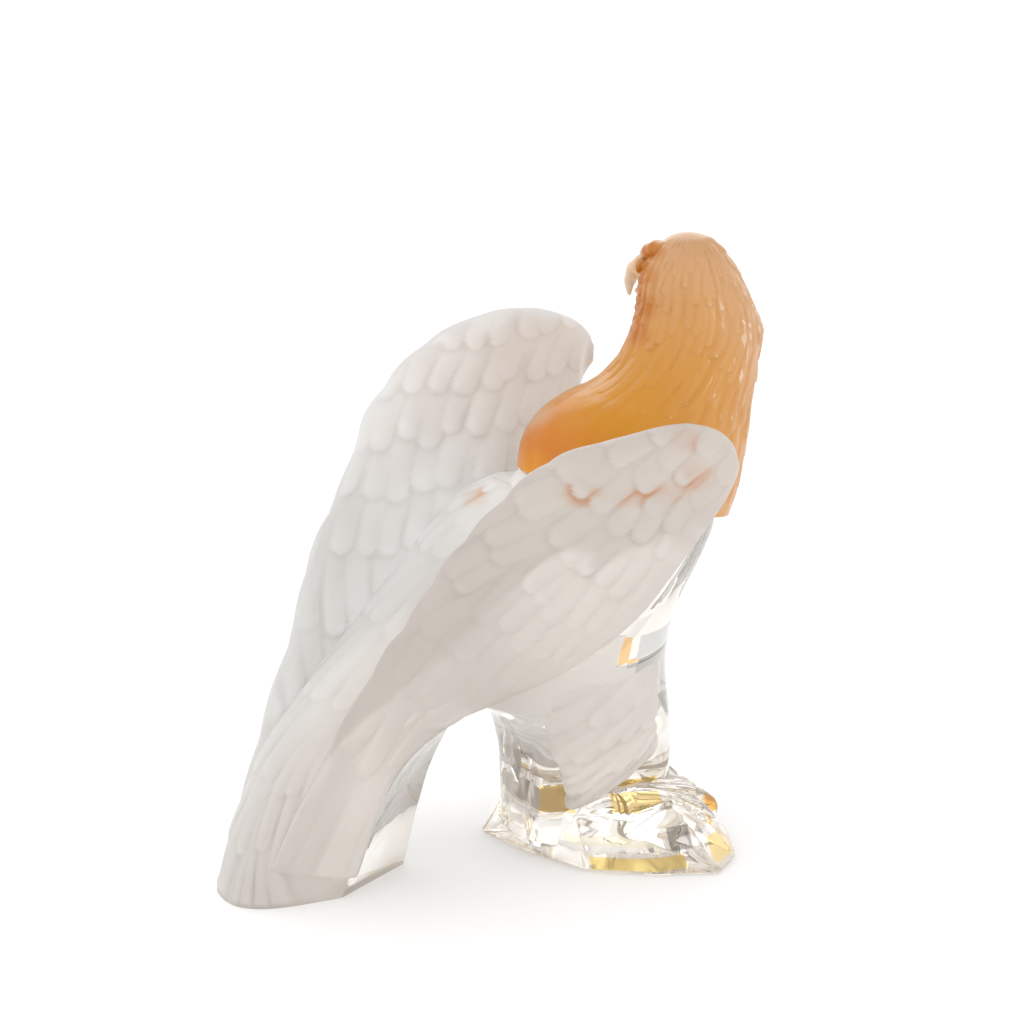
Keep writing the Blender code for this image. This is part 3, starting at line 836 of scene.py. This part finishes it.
# Rounding of the mantle's lower rim
MANTLE_RIM = 0.9
# Soft lumps of the neck: size and height, over how much they fade below and above, and how strongly they
# show in the painted shade and highlights
NECK_LUMPS = (9.4, 0.8)
LUMP_FADE = (20, 12)
LUMPS_SHOWN = 0.3


def hackle_lobes():
    """Lobes round the neck, in staggered rows that grow longer as they go down, and scales on the throat.

    Steps and rows set how far each hackle hangs, through a cosine, so that neighbours hang unevenly.
    """
    lobes = []
    start, end = THROAT_SIDE
    for number, (tip, pitch, length, half) in enumerate(HACKLE_ROWS):
        count = round(NECK_ARC / pitch)
        swept = smooth((tip - SWEPT[0]) / (SWEPT[1] - SWEPT[0]))
        for step in range(count):
            share = (step + 0.5 * (number % 2)) / count
            drop = HACKLE_DROP * length * math.cos(5 * step + 2 * number)
            back = HACKLE_SWEEP * math.sin(2 * math.pi * share) * swept
            if not (tip > THROAT_ROWS[0] and start < share % 1 < end):
                lobes.append((share * NECK_ARC, tip - drop, DOWN + back, length, half, back / HACKLE_TURN))
    pitch, length, half = THROAT_SCALE
    for number, tip in enumerate(np.arange(*THROAT_ROWS)):
        for place in np.arange(start * NECK_ARC, end * NECK_ARC, pitch):
            lobes.append((place + pitch / 2 * (number % 2), tip, DOWN, length, half, 0))
    return strayed(lobes, HACKLE_STRAY)


def mantle(relief):
    """Breast, mantle, neck and crown in one loft, with hackles that hang down the neck."""
    rings, sides = MANTLE_GRID
    levels = np.linspace(MANTLE[0][0], MANTLE[-1][0], rings)
    middle, long, wide, share = through(MANTLE, levels).T
    rim = np.clip(1 - (levels - levels[0]) / MANTLE_RIM, 0, 1)
    inset = MANTLE_RIM * (1 - np.sqrt(1 - rim**2))
    slope = share * seat_slope()
    form = ellipses(np.stack([middle, 0 * middle], -1), long - inset, wide - inset, levels, slope, sides)
    form[0, :, 2] += SEAT_GAP * np.hypot(1, seat_slope())
    turn = np.arange(sides) / sides
    carving = feathers(turn[None, :] * NECK_ARC, levels[:, None], hackle_lobes(), round_trip=NECK_ARC)
    behind = 0.5 - 0.5 * np.cos(2 * np.pi * turn)
    shown = smooth((levels[:, None] - BARE_BREAST[0]) / BARE_BREAST[1] + 1 - behind)
    fade = smooth((levels - levels[0]) / HACKLE_FADE[0]) * smooth((HEIGHT_PARTS - levels) / HACKLE_FADE[1])
    carving = carving * shown * fade[:, None]
    centre = np.stack([middle, 0 * middle, levels], -1)[:, None]
    out = form - centre
    out[..., 2] = 0
    out /= np.linalg.norm(out, axis=-1, keepdims=True)
    size, height = NECK_LUMPS
    lumps = height * clouds(turn[None, :], levels[:, None] / size, round(NECK_ARC / size))
    fade = smooth((levels - SWEPT[0]) / LUMP_FADE[0]) * smooth((HEIGHT_PARTS - levels) / LUMP_FADE[1])
    lumps *= fade[:, None]
    form += out * (relief * carving + lumps)[..., None]
    return solid("mantle", form, carving=standing_out(carving + LUMPS_SHOWN * lumps))


def head_piece(name, table, side=1):
    """A form of the head, placed from the neck's middle in the direction that the bird looks."""
    height, out, aside, wide, tall = np.array(table, float).T
    look = np.radians(HEAD_TURN)
    x = NECK_X + out * np.cos(look) - side * aside * np.sin(look)
    y = out * np.sin(look) + side * aside * np.cos(look)
    return along(name, np.stack([x, y, height, wide, tall], -1), HEAD_GRID, SATIN, HEAD_RIPPLE)


# Materials

# Painted glow of the amber, a painted refraction of the mantle, in the creases of the near wing and over
# the back: middle and half sizes in parts, and the shares of these between which it comes up
PAINTED_AMBER_GLOWS = (
    ((8, -72, 186), (13, 18, 7)),
    ((37, -76, 184), (24, 18, 7)),
    ((57, -80, 190), (12, 18, 9)),
    ((55, -74, 205), (9, 14, 7)),
    ((4, 28, 161), (12, 16, 9)),
)
PAINTED_GLOW_EDGE = (1, 0.3)
# Where the amber is deepest, how far it takes to turn pale, over which y the beak fades and above which z, in
# metres
AMBER_DEEPEST = (0.014, -0.006, 0.170)
AMBER_REACH = 0.125
BEAK_FADE = (0.024, 0.036)
BEAK_FOOT = 0.235
# Where the amber is burnt dark, at brow and throat, and where it thins, given as PAINTED_AMBER_GLOWS are
AMBER_BURNT = (
    ((81, 7, 270), (5, 16, 8)),
    ((78, 6, 258), (6, 16, 10)),
    ((75, 4, 246), (5, 17, 11)),
    ((73, 4, 234), (6, 17, 10)),
)
BURNT_EDGE = (1, 0.3)
AMBER_THIN = ((26, 9, 203), (11, 17, 14))
THIN_EDGE = (1, 0.2)
# Painted glints on the neck's crests, in short bright streaks, given as the painted glows are, and over
# which values of their noise and of the carving height they come up
PAINTED_GLINT_PLACE = ((112, -22, 222), (34, 30, 46))
PAINTED_GLINT_EDGE = (1, 0.4)
PAINTED_GLINT_STREAKS = (0.61, 0.66)
PAINTED_GLINT_CRESTS = (0.45, 0.7)
# How much clouds and the carving shift a finish on its ramp, the carving as painted shade in creases and
# painted highlights on crests, and how much of the ramp the amber takes up
CLOUD_SHIFT = 0.3
PAINTED_SHADE_AND_HIGHLIGHT_SHIFT = 0.3
AMBER_SPREAD = 0.75
# Painted shade on the satin: over which y it turns from the darker near side to white, and over which z
# it turns from darker low down to white, in metres
SIDE_FADE = (-0.035, 0.045)
TOP_FADE = (0.12, 0.215)
# Sizes of the patterns in millimetres. Three sizes are those across, aside and along a turned pattern. Real
# barbs and real grain are too fine to show, so they are drawn coarser.
SATIN_CLOUD = 38.5
BARBS = (8.33, 3.33, 1.43)
CLEAR_CLOUD = 33.3
CLEAR_WAVE = 18.2
AMBER_CLOUD = 41.7
AMBER_GRAIN = 2.38
STREAKS = (2.564, 2.564, 12.5)
FLOOR_CLOUD = 333
# How far about Y the barbs and the streaks are turned, in degrees
BARB_TURN = 45
STREAK_TURN = -30
# Colours laid into the clear crystal, as boxes: middle and half sizes in parts, and the colour. The amber
# and grey ones are painted refractions, of the amber head and of darker parts seen through the facets;
# the pale beige ones low down are tints.
PAINTED_REFRACTIONS_AND_TINTS = (
    ((50, -54, 2), (19, 16, 6), "#EDBE4E"),
    ((95, -48, 5), (13, 14, 6.5), "#EBBB58"),
    ((55, -33, 29), (10, 9, 4.4), "#EBBE60"),
    ((57, -24, 33), (15, 3, 2.6), "#E3B24C"),
    ((22, -21, 31.5), (8.5, 6, 6.5), "#FACB6A"),
    ((99, -26, 19), (5, 8, 4), "#EDB558"),
    ((36, -56, 110), (3, 9, 6), "#EDA050"),
    ((43, -58, 104), (4, 8, 1.4), "#EDA050"),
    ((11, -5, 37), (5, 14, 16), "#B4AEA7"),
    ((69, -51, 14), (5, 8, 4.4), "#807C77"),
    ((59, -50, 110), (15, 18, 6), "#AEB0B1"),
    ((59, -50, 102), (13, 18, 1.6), "#777470"),
    ((42, -40, 13.5), (18, 15, 1.8), "#F0E6C8"),
    ((10, 6, 8), (7, 16, 6), "#E6DFD6"),
    ((62, -6, 0.8), (70, 80, 2), "#CDBFAE"),
    ((-60, 0, 0.6), (60, 60, 2.2), "#D8CDC0"),
)
# Shares of its half sizes between which a tint fades, and how far its outline wanders, in metres, and over
# which size in millimetres
TINT_EDGE = (1.05, 0.95)
TINT_WANDER = 0.007
TINT_WAVE = 31.25


def per_metre(*sizes):
    """Scales of a pattern from the sizes of its bumps in millimetres."""
    scales = [1000 / size for size in sizes]
    return scales if len(scales) > 1 else scales[0]


def add(tree, kind, inputs=(), **settings):
    """Adds a node, sets its properties, and gives its inputs, by name or number, a link or a plain value."""
    made = tree.nodes.new(kind)
    for key, value in settings.items():
        setattr(made, key, value)
    for name, source in dict(inputs).items():
        socket = made.inputs[name]
        if isinstance(source, bpy.types.NodeSocket):
            tree.links.new(socket, source)
        else:
            socket.default_value = (*source, 1) if socket.type == "RGBA" else source
    return made


def empty_material(name):
    """A material with its tree, its unset Principled shader and the place on the piece that patterns read."""
    material = bpy.data.materials.new(name)
    material.use_nodes = True
    tree = material.node_tree
    return material, tree, tree.nodes["Principled BSDF"], add(tree, "ShaderNodeTexCoord").outputs["Object"]


def coloured(made, stops):
    """The colour that a ramp gives, once its stops are set from pairs of place and linear colour."""
    elements = made.color_ramp.elements
    while len(elements) < len(stops):
        elements.new(0.5)
    for element, (place, colour) in zip(elements, stops):
        element.position = place
        element.color = (*colour, 1)
    return made.outputs["Color"]


def eased(tree, pairs):
    """For each value with its two ends, a share that eases from 0 at the first end to 1 at the second."""
    shares = []
    for value, (start, end) in pairs:
        inputs = {"Value": value, "From Min": start, "From Max": end}
        share = add(tree, "ShaderNodeMapRange", inputs, interpolation_type="SMOOTHSTEP")
        shares.append(share.outputs["Result"])
    return shares


def near(tree, place, middle, half, edge, box=False):
    """From 0 outside to 1 inside an ellipsoid or a box in parts, between two shares of its half sizes.

    How far out a place lies is its way from the middle over the half sizes: the length of that for an
    ellipsoid, and the greatest of its three sides for a box.
    """
    middle, half = (np.array(middle) - MIDDLE) * PART, np.array(half) * PART
    way = add(tree, "ShaderNodeVectorMath", {0: place, 1: middle}, operation="SUBTRACT").outputs["Vector"]
    way = add(tree, "ShaderNodeVectorMath", {0: way, 1: half}, operation="DIVIDE").outputs["Vector"]
    if box:
        way = add(tree, "ShaderNodeVectorMath", {0: way}, operation="ABSOLUTE").outputs["Vector"]
        x, y, z = add(tree, "ShaderNodeSeparateXYZ", {"Vector": way}).outputs
        out = add(tree, "ShaderNodeMath", {0: x, 1: y}, operation="MAXIMUM").outputs["Value"]
        out = add(tree, "ShaderNodeMath", {0: out, 1: z}, operation="MAXIMUM").outputs["Value"]
    else:
        out = add(tree, "ShaderNodeVectorMath", {0: way}, operation="LENGTH").outputs["Value"]
    return eased(tree, [(out, edge)])[0]


def laid_over(tree, colour, layers, how="MIX"):
    """A colour with others laid over it in turn, each by its share from 0 to 1."""
    for share, layer in layers:
        inputs = {0: share, 6: colour, 7: layer}
        colour = add(tree, "ShaderNodeMix", inputs, data_type="RGBA", blend_type=how).outputs[2]
    return colour


def satin_crystal(looks):
    """Lead crystal with an acid-etched satin face: milky and soft, with painted shade in its creases and
    painted highlights on its crests.

    Near the wrist and over the back the creases are painted with the amber's glow, a painted refraction of
    the mantle. The near side and the low parts are painted darker, as painted shade. Fine barbs run down and
    back over it.
    """
    material, tree, shader, place = empty_material("satin_etched_lead_crystal")
    stands = add(tree, "ShaderNodeAttribute", attribute_name=CARVING).outputs["Fac"]
    cloud = add(tree, "ShaderNodeTexNoise", {"Vector": place, "Scale": per_metre(SATIN_CLOUD)}).outputs["Fac"]
    inputs = {0: cloud, 1: CLOUD_SHIFT, 2: stands}
    tone = add(tree, "ShaderNodeMath", inputs, operation="MULTIPLY_ADD").outputs["Value"]
    # Painted shade in the creases and painted highlights on the crests, from the carving height
    light = (0.98, looks.satin_painted_highlight)
    shown = [(0.3, looks.satin_shade), (0.65, looks.satin_colour), light]
    colour = coloured(add(tree, "ShaderNodeValToRGB", {"Fac": tone}), shown)
    # Painted glow: a second ramp with the amber's colour in the creases, a painted refraction of the mantle
    shown = [(0.5, looks.satin_painted_glow), (0.72, looks.satin_colour), light]
    painted_glow = coloured(add(tree, "ShaderNodeValToRGB", {"Fac": tone}), shown)
    colour = laid_over(tree, colour, [(near(tree, place, *glow, PAINTED_GLOW_EDGE), painted_glow) for glow in PAINTED_AMBER_GLOWS])
    # Painted shade: the near side is painted darker, and so is the satin low down
    _, aside, high = add(tree, "ShaderNodeSeparateXYZ", {"Vector": place}).outputs
    white = linear("#FFFFFF")
    far, above = eased(tree, [(aside, SIDE_FADE), (high, TOP_FADE)])
    tint = laid_over(tree, looks.satin_painted_side_shade, [(far, white)])
    painted_low_shade = laid_over(tree, looks.satin_painted_low_shade, [(above, white)])
    colour = laid_over(tree, colour, [(1, tint), (1, painted_low_shade)], "MULTIPLY")
    tree.links.new(shader.inputs["Base Color"], colour)
    inputs = {"Vector": place, "Rotation": (0, math.radians(BARB_TURN), 0), "Scale": per_metre(*BARBS)}
    turned = add(tree, "ShaderNodeMapping", inputs).outputs["Vector"]
    barbs = add(tree, "ShaderNodeTexNoise", {"Vector": turned, "Scale": 1, "Detail": 3}).outputs["Fac"]
    bump = add(tree, "ShaderNodeBump", {"Height": barbs, "Strength": 0.3, "Distance": 0.0003})
    tree.links.new(shader.inputs["Normal"], bump.outputs["Normal"])
    shader.inputs["Roughness"].default_value = looks.satin_roughness
    shader.inputs["IOR"].default_value = 1.52
    shader.inputs["Transmission Weight"].default_value = 0.3
    return material


def clear_crystal(looks):
    """Lead crystal with a fire-polished face: clear and bright, with soft waves that bend what it shows.

    It holds painted refractions with wandering outlines, amber and grey, and pale beige tints low down,
    which lie where the table of painted refractions and tints says.
    """
    material, tree, shader, place = empty_material("polished_clear_lead_crystal")
    drift = add(tree, "ShaderNodeTexNoise", {"Vector": place, "Scale": per_metre(TINT_WAVE), "Detail": 1})
    inputs = {0: drift.outputs["Color"], 1: (0.5, 0.5, 0.5)}
    drift = add(tree, "ShaderNodeVectorMath", inputs, operation="SUBTRACT").outputs["Vector"]
    inputs = {0: drift, 1: (TINT_WANDER,) * 3, 2: place}
    wander = add(tree, "ShaderNodeVectorMath", inputs, operation="MULTIPLY_ADD").outputs["Vector"]
    cloud = add(tree, "ShaderNodeTexNoise", {"Vector": place, "Scale": per_metre(CLEAR_CLOUD)}).outputs["Fac"]
    shown = [(0.4, linear("#E8E2D8")), (0.62, linear("#F7F4F0"))]
    colour = coloured(add(tree, "ShaderNodeValToRGB", {"Fac": cloud}), shown)
    # Painted refractions: amber and grey patches where the head and darker parts would show through the facets
    refractions_and_tints = [(near(tree, wander, *box, TINT_EDGE, True), linear(tint)) for *box, tint in PAINTED_REFRACTIONS_AND_TINTS]
    tree.links.new(shader.inputs["Base Color"], laid_over(tree, colour, refractions_and_tints))
    inputs = {"Vector": place, "Scale": per_metre(CLEAR_WAVE), "Detail": 1, "Distortion": 0.6}
    waves = add(tree, "ShaderNodeTexNoise", inputs).outputs["Fac"]
    bump = add(tree, "ShaderNodeBump", {"Height": waves, "Strength": 0.05, "Distance": 0.0015})
    tree.links.new(shader.inputs["Normal"], bump.outputs["Normal"])
    shader.inputs["Roughness"].default_value = 0.02
    shader.inputs["IOR"].default_value = 1.52
    shader.inputs["Transmission Weight"].default_value = 1
    return material


def amber_crystal(looks):
    """Amber crystal, satin with a lick of polish: deep honey where it is thick, peach where it thins.

    The colour follows the place, from a painted glow at the mantle's rear foot to the nape, with painted shade
    in its creases and painted highlights on its crests. It is burnt dark at brow and throat, fades at the
    beak's tip, and has painted glints, short pale streaks, on the neck's crests.
    """
    material, tree, shader, place = empty_material("satin_amber_crystal")
    stands = add(tree, "ShaderNodeAttribute", attribute_name=CARVING).outputs["Fac"]
    away = add(tree, "ShaderNodeVectorMath", {0: place, 1: AMBER_DEEPEST}, operation="DISTANCE")
    inputs = {"Value": away.outputs["Value"], "From Max": AMBER_REACH}
    tone = add(tree, "ShaderNodeMapRange", inputs).outputs["Result"]
    cloud = add(tree, "ShaderNodeTexNoise", {"Vector": place, "Scale": per_metre(AMBER_CLOUD)}).outputs["Fac"]
    # The carving paints shade in the creases and highlights on the crests by shifting the tone
    for pattern, weight in ((cloud, CLOUD_SHIFT), (stands, PAINTED_SHADE_AND_HIGHLIGHT_SHIFT)):
        inputs = {0: pattern, 1: weight, 2: tone}
        tone = add(tree, "ShaderNodeMath", inputs, operation="MULTIPLY_ADD").outputs["Value"]
    tone = add(tree, "ShaderNodeMath", {0: tone, 1: AMBER_SPREAD}, operation="MULTIPLY").outputs["Value"]
    # The ramp's low end is a painted glow at the mantle's rear foot
    colour = coloured(add(tree, "ShaderNodeValToRGB", {"Fac": tone}), [
        (0.26, looks.amber_painted_glow), (0.34, looks.amber_deep), (0.54, looks.amber_colour),
        (0.75, looks.amber_neck), (0.98, looks.amber_pale),
    ])
    # Painted glints: short pale streaks on the neck's crests, laid over the colour
    inputs = {"Vector": place, "Rotation": (0, math.radians(STREAK_TURN), 0), "Scale": per_metre(*STREAKS)}
    pulled = add(tree, "ShaderNodeMapping", inputs).outputs["Vector"]
    streaks = add(tree, "ShaderNodeTexNoise", {"Vector": pulled, "Scale": 1, "Detail": 1}).outputs["Fac"]
    _, aside, high = add(tree, "ShaderNodeSeparateXYZ", {"Vector": place}).outputs
    fades = [(streaks, PAINTED_GLINT_STREAKS), (stands, PAINTED_GLINT_CRESTS), (aside, BEAK_FADE)]
    painted_glints, crests, tip = eased(tree, fades)
    for share in (crests, near(tree, place, *PAINTED_GLINT_PLACE, PAINTED_GLINT_EDGE)):
        painted_glints = add(tree, "ShaderNodeMath", {0: painted_glints, 1: share}, operation="MULTIPLY").outputs["Value"]
    high = add(tree, "ShaderNodeMath", {0: high, 1: BEAK_FOOT}, operation="GREATER_THAN").outputs["Value"]
    tip = add(tree, "ShaderNodeMath", {0: tip, 1: high}, operation="MULTIPLY").outputs["Value"]
    layers = [(near(tree, place, *AMBER_THIN, THIN_EDGE), looks.amber_pale)]
    layers += [(near(tree, place, *burnt, BURNT_EDGE), looks.amber_burnt) for burnt in AMBER_BURNT]
    layers += [(painted_glints, looks.amber_painted_glint), (tip, looks.beak_tip)]
    tree.links.new(shader.inputs["Base Color"], laid_over(tree, colour, layers))
    grain = add(tree, "ShaderNodeTexNoise", {"Vector": place, "Scale": per_metre(AMBER_GRAIN)}).outputs["Fac"]
    bump = add(tree, "ShaderNodeBump", {"Height": grain, "Strength": 0.25, "Distance": 0.0004})
    tree.links.new(shader.inputs["Normal"], bump.outputs["Normal"])
    shader.inputs["Roughness"].default_value = 0.36
    shader.inputs["IOR"].default_value = 1.52
    shader.inputs["Transmission Weight"].default_value = 0.3
    shader.inputs["Coat Weight"].default_value = 0.35
    shader.inputs["Coat Roughness"].default_value = 0.06
    shader.inputs["Specular IOR Level"].default_value = 0.1
    return material


def pale_floor(looks):
    """Matt white studio board, very slightly mottled so that it isn't a dead flat field."""
    material, tree, shader, place = empty_material("matt_studio_board")
    cloud = add(tree, "ShaderNodeTexNoise", {"Vector": place, "Scale": per_metre(FLOOR_CLOUD)}).outputs["Fac"]
    shown = [(0.3, looks.floor_colour), (0.7, linear("#FFFFFF"))]
    colour = coloured(add(tree, "ShaderNodeValToRGB", {"Fac": cloud}), shown)
    tree.links.new(shader.inputs["Base Color"], colour)
    shader.inputs["Roughness"].default_value = 0.9
    return material


# What a user can change, and the operators


def height_of(name, description, height):
    """A property for how high a carving stands, in metres."""
    return bpy.props.FloatProperty(
        name=name, description=description, default=height, min=0, max=0.003,
        subtype="DISTANCE", unit="LENGTH", precision=4,
    )


def colour_of(name, description, hex_colour):
    """A property for a colour, from its sRGB default."""
    return bpy.props.FloatVectorProperty(
        name=name, description=description, default=linear(hex_colour), subtype="COLOR", min=0, max=1,
    )


class EagleLooks(bpy.types.PropertyGroup):
    """Sizes and colours of the skins and the stage."""

    feather_relief: height_of("Feather relief", "Height of the carved feathers of wings and tail", 0.0019)
    hackle_relief: height_of("Hackle relief", "Height of the carved hackles of the neck", 0.0014)
    strand_relief: height_of("Strand relief", "Height of the strands carved on the thighs", 0.0015)
    satin_roughness: bpy.props.FloatProperty(
        name="Satin roughness", description="How matt the etched faces are", default=0.45, min=0, max=1,
    )
    satin_colour: colour_of("Satin colour", "Colour of the etched crystal", "#EEEDEB")
    # Painted highlight on the crests of the etched crystal
    satin_painted_highlight: colour_of("Satin light", "Colour of the etched crystal where it stands highest", "#FAFAF9")
    # Painted glow of the amber in the creases, a painted refraction of the mantle
    satin_painted_glow: colour_of("Satin glow", "Colour of the creases where the amber shows through", "#E2B08C")
    # Painted shade in the creases of the etched crystal
    satin_shade: colour_of("Satin shade", "Colour of the etched crystal in its creases", "#D7D4D1")
    # Painted shade on the bird's right side
    satin_painted_side_shade: colour_of("Satin near", "Tint of the etched crystal on the bird's right", "#E5DDD6")
    # Painted shade low down on the etched crystal
    satin_painted_low_shade: colour_of("Satin low", "Tint of the etched crystal low down, lit by the floor", "#F0F0EF")
    amber_neck: colour_of("Neck amber", "Colour of the amber crystal on the neck", "#DB9A43")
    amber_burnt: colour_of("Burnt amber", "Colour of the amber crystal at brow and throat", "#CB7A1E")
    amber_colour: colour_of("Amber", "Main colour of the amber crystal", "#DC9516")
    amber_deep: colour_of("Deep amber", "Colour where the amber crystal is thick", "#DE8000")
    # Painted glow at the mantle's rear foot
    amber_painted_glow: colour_of("Glowing amber", "Colour at the mantle's rear foot, where light gathers", "#F7A400")
    amber_pale: colour_of("Pale amber", "Colour where the amber crystal is thin", "#DBAA78")
    # Painted glints on the neck's crests
    amber_painted_glint: colour_of("Amber spark", "Colour of the polished streaks on the neck's crests", "#FFF0DC")
    beak_tip: colour_of("Beak tip", "Colour of the beak where it fades to clear", "#F0DEC8")
    floor_colour: colour_of("Floor", "Colour of the studio floor", "#FCFCFC")
    sky: bpy.props.FloatProperty(
        name="Sky", description="Brightness of the light all round", default=1.27, min=0, max=5,
    )


class EAGLE_OT_crystal_skin(bpy.types.Operator):
    """Carve the satin wings, tail and thighs and the clear trunk, toes and rock, as one skin"""

    bl_idname = "eagle.crystal_skin"
    bl_label = "Crystal Body"

    def execute(self, context):
        looks = context.scene.eagle_looks
        relief = looks.feather_relief / PART
        solids = [tail(relief), trunk()]
        solids.append(wing("right_wing", RIGHT_WING, -1, relief))
        solids.append(wing("left_wing", LEFT_WING, 1, relief))
        for side, word in ((-1, "right"), (1, "left")):
            solids.append(shoulder(f"{word}_shoulder", side))
            solids.append(thigh(f"{word}_thigh", side, looks.strand_relief / PART))
            solids += toes(side)
        solids += [rock(), drips()]
        skin = fuse("crystal_skin", solids, [satin_crystal(looks), clear_crystal(looks)])
        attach(skin, "root")
        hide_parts("crystal_body")
        skin.visible_shadow = False
        return {"FINISHED"}


class EAGLE_OT_amber_skin(bpy.types.Operator):
    """Carve the amber head, neck, breast and mantle as one skin"""

    bl_idname = "eagle.amber_skin"
    bl_label = "Amber Head"

    def execute(self, context):
        looks = context.scene.eagle_looks
        solids = [mantle(looks.hackle_relief / PART), head_piece("beak", BEAK), head_piece("jaw", JAW)]
        for side, word in ((-1, "right"), (1, "left")):
            solids += [head_piece(f"{word}_brow", BROW, side), head_piece(f"{word}_eye", EYE, side)]
        skin = fuse("amber_skin", solids, [amber_crystal(looks)])
        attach(skin, "root")
        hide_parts("amber_head")
        return {"FINISHED"}


# Stage, in metres and watts: half side of the floor and its squares, and lamps as name, place, width, height
# and power, with the place that they face
FLOOR_REACH = 14
FLOOR_SQUARES = 8
LAMPS = (
    ("left_softbox", (-1.3, 0.1, 0.9), 0.9, 0.9, 1),
    ("back_softbox", (0.5, 1.3, 1.0), 1.2, 1.2, 3),
    ("glint_strip", (0.5, -1.1, 0.25), 0.035, 0.5, 1.2),
)
LAMPS_AIM = (0, 0, 0.12)
# A wide, weak light from overhead: its power, and its spread and turn in degrees
OVERHEAD_POWER = 0.1
OVERHEAD_SPREAD = 30
OVERHEAD_TURN = (-22, -28, 0)
# The light all round, white to well above the horizon and greyer overhead: sine of the height, and colour
SKY = ((0.3, "#FFFFFF"), (1.0, "#D8D8DA"))
# How often light may turn inside the crystal before it is given up. With fewer turns its clear parts go black
CRYSTAL_BOUNCES = 24
# Camera: place in metres from the tables' origin, turn in degrees, lens in millimetres, and how near and far
# it sees
CAMERA_PLACE = (-0.4788, -1.0495, 0.4915)
CAMERA_TURN = (74, 0, -25)
CAMERA_LENS = 96.43
CAMERA_CLIP = (0.05, 60)


def placed(name, data, place=(0, 0, 0), turn=(0, 0, 0)):
    """A lamp, camera or mesh as an object of the scene, with its place and its turn in radians."""
    made = bpy.data.objects.new(name, data)
    made.location = place
    made.rotation_euler = turn
    bpy.context.scene.collection.objects.link(made)
    return made


def lay_floor(looks):
    """A flat square grid about the origin."""
    side = np.linspace(-FLOOR_REACH, FLOOR_REACH, FLOOR_SQUARES + 1)
    x, y = np.meshgrid(side, side)
    corner = np.arange(x.size).reshape(x.shape)
    faces = np.stack([corner[:-1, :-1], corner[:-1, 1:], corner[1:, 1:], corner[1:, :-1]], -1)
    mesh = bpy.data.meshes.new("floor")
    mesh.from_pydata(np.stack([x, y, 0 * x], -1).reshape(-1, 3), [], faces.reshape(-1, 4).tolist())
    mesh.materials.append(pale_floor(looks))
    placed("floor", mesh)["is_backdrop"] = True


def hang_lamps():
    """Soft boxes and a strip that face LAMPS_AIM, and a weak sun."""
    for name, place, width, height, power in LAMPS:
        light = bpy.data.lights.new(name, "AREA")
        light.shape = "RECTANGLE"
        light.size = width
        light.size_y = height
        light.energy = power
        x, y, z = np.subtract(LAMPS_AIM, place)
        placed(name, light, place, (math.atan2(math.hypot(x, y), -z), 0, math.atan2(y, x) - math.pi / 2))
    sun = bpy.data.lights.new("overhead_panel", "SUN")
    sun.energy = OVERHEAD_POWER
    sun.angle = math.radians(OVERHEAD_SPREAD)
    placed("overhead_panel", sun, turn=np.radians(OVERHEAD_TURN))


def light_all_round(looks):
    """A studio's light from everywhere, by the height that it comes from."""
    world = bpy.data.worlds.new("studio_light")
    world.use_nodes = True
    tree = world.node_tree
    background = tree.nodes["Background"]
    direction = add(tree, "ShaderNodeTexCoord").outputs["Generated"]
    height = add(tree, "ShaderNodeSeparateXYZ", {"Vector": direction}).outputs["Z"]
    shown = [(at, linear(hex_colour)) for at, hex_colour in SKY]
    sky = coloured(add(tree, "ShaderNodeValToRGB", {"Fac": height}), shown)
    tree.links.new(background.inputs["Color"], sky)
    background.inputs["Strength"].default_value = looks.sky
    bpy.context.scene.world = world


def set_camera():
    """A long lens a little above the bird, behind it and to its right."""
    camera = bpy.data.cameras.new("camera")
    camera.lens = CAMERA_LENS
    camera.clip_start, camera.clip_end = CAMERA_CLIP
    place = np.array(CAMERA_PLACE) - MIDDLE * PART
    bpy.context.scene.camera = placed("camera", camera, place, np.radians(CAMERA_TURN))


class EAGLE_OT_stage(bpy.types.Operator):
    """Lay the floor, light it softly and set the camera"""

    bl_idname = "eagle.stage"
    bl_label = "Stage"

    def execute(self, context):
        looks = context.scene.eagle_looks
        lay_floor(looks)
        hang_lamps()
        light_all_round(looks)
        set_camera()
        scene = context.scene
        scene.view_settings.view_transform = "Standard"
        scene.cycles.glossy_bounces = CRYSTAL_BOUNCES
        scene.cycles.transmission_bounces = CRYSTAL_BOUNCES
        scene.cycles.max_bounces = CRYSTAL_BOUNCES
        return {"FINISHED"}


class EAGLE_PT_panel(bpy.types.Panel):
    """Lists the pieces and what can be changed on them"""

    bl_label = "Crystal Eagle"
    bl_idname = "EAGLE_PT_panel"
    bl_space_type = "VIEW_3D"
    bl_region_type = "UI"
    bl_category = "Crystal Eagle"

    def draw(self, context):
        for name in EagleLooks.__annotations__:
            self.layout.prop(context.scene.eagle_looks, name)
        for operator in OPERATORS:
            self.layout.operator(operator.bl_idname)


OPERATORS = (EAGLE_OT_crystal_skin, EAGLE_OT_amber_skin, EAGLE_OT_stage)


def register():
    for each in (EagleLooks, *OPERATORS, EAGLE_PT_panel):
        bpy.utils.register_class(each)
    bpy.types.Scene.eagle_looks = bpy.props.PointerProperty(type=EagleLooks)


def unregister():
    del bpy.types.Scene.eagle_looks
    for each in (EAGLE_PT_panel, *reversed(OPERATORS), EagleLooks):
        bpy.utils.unregister_class(each)


def main():
    """Registers the add-on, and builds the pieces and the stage."""
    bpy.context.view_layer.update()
    register()
    bpy.ops.eagle.crystal_skin()
    bpy.ops.eagle.amber_skin()
    bpy.ops.eagle.stage()


if __name__ == "__main__":
    main()
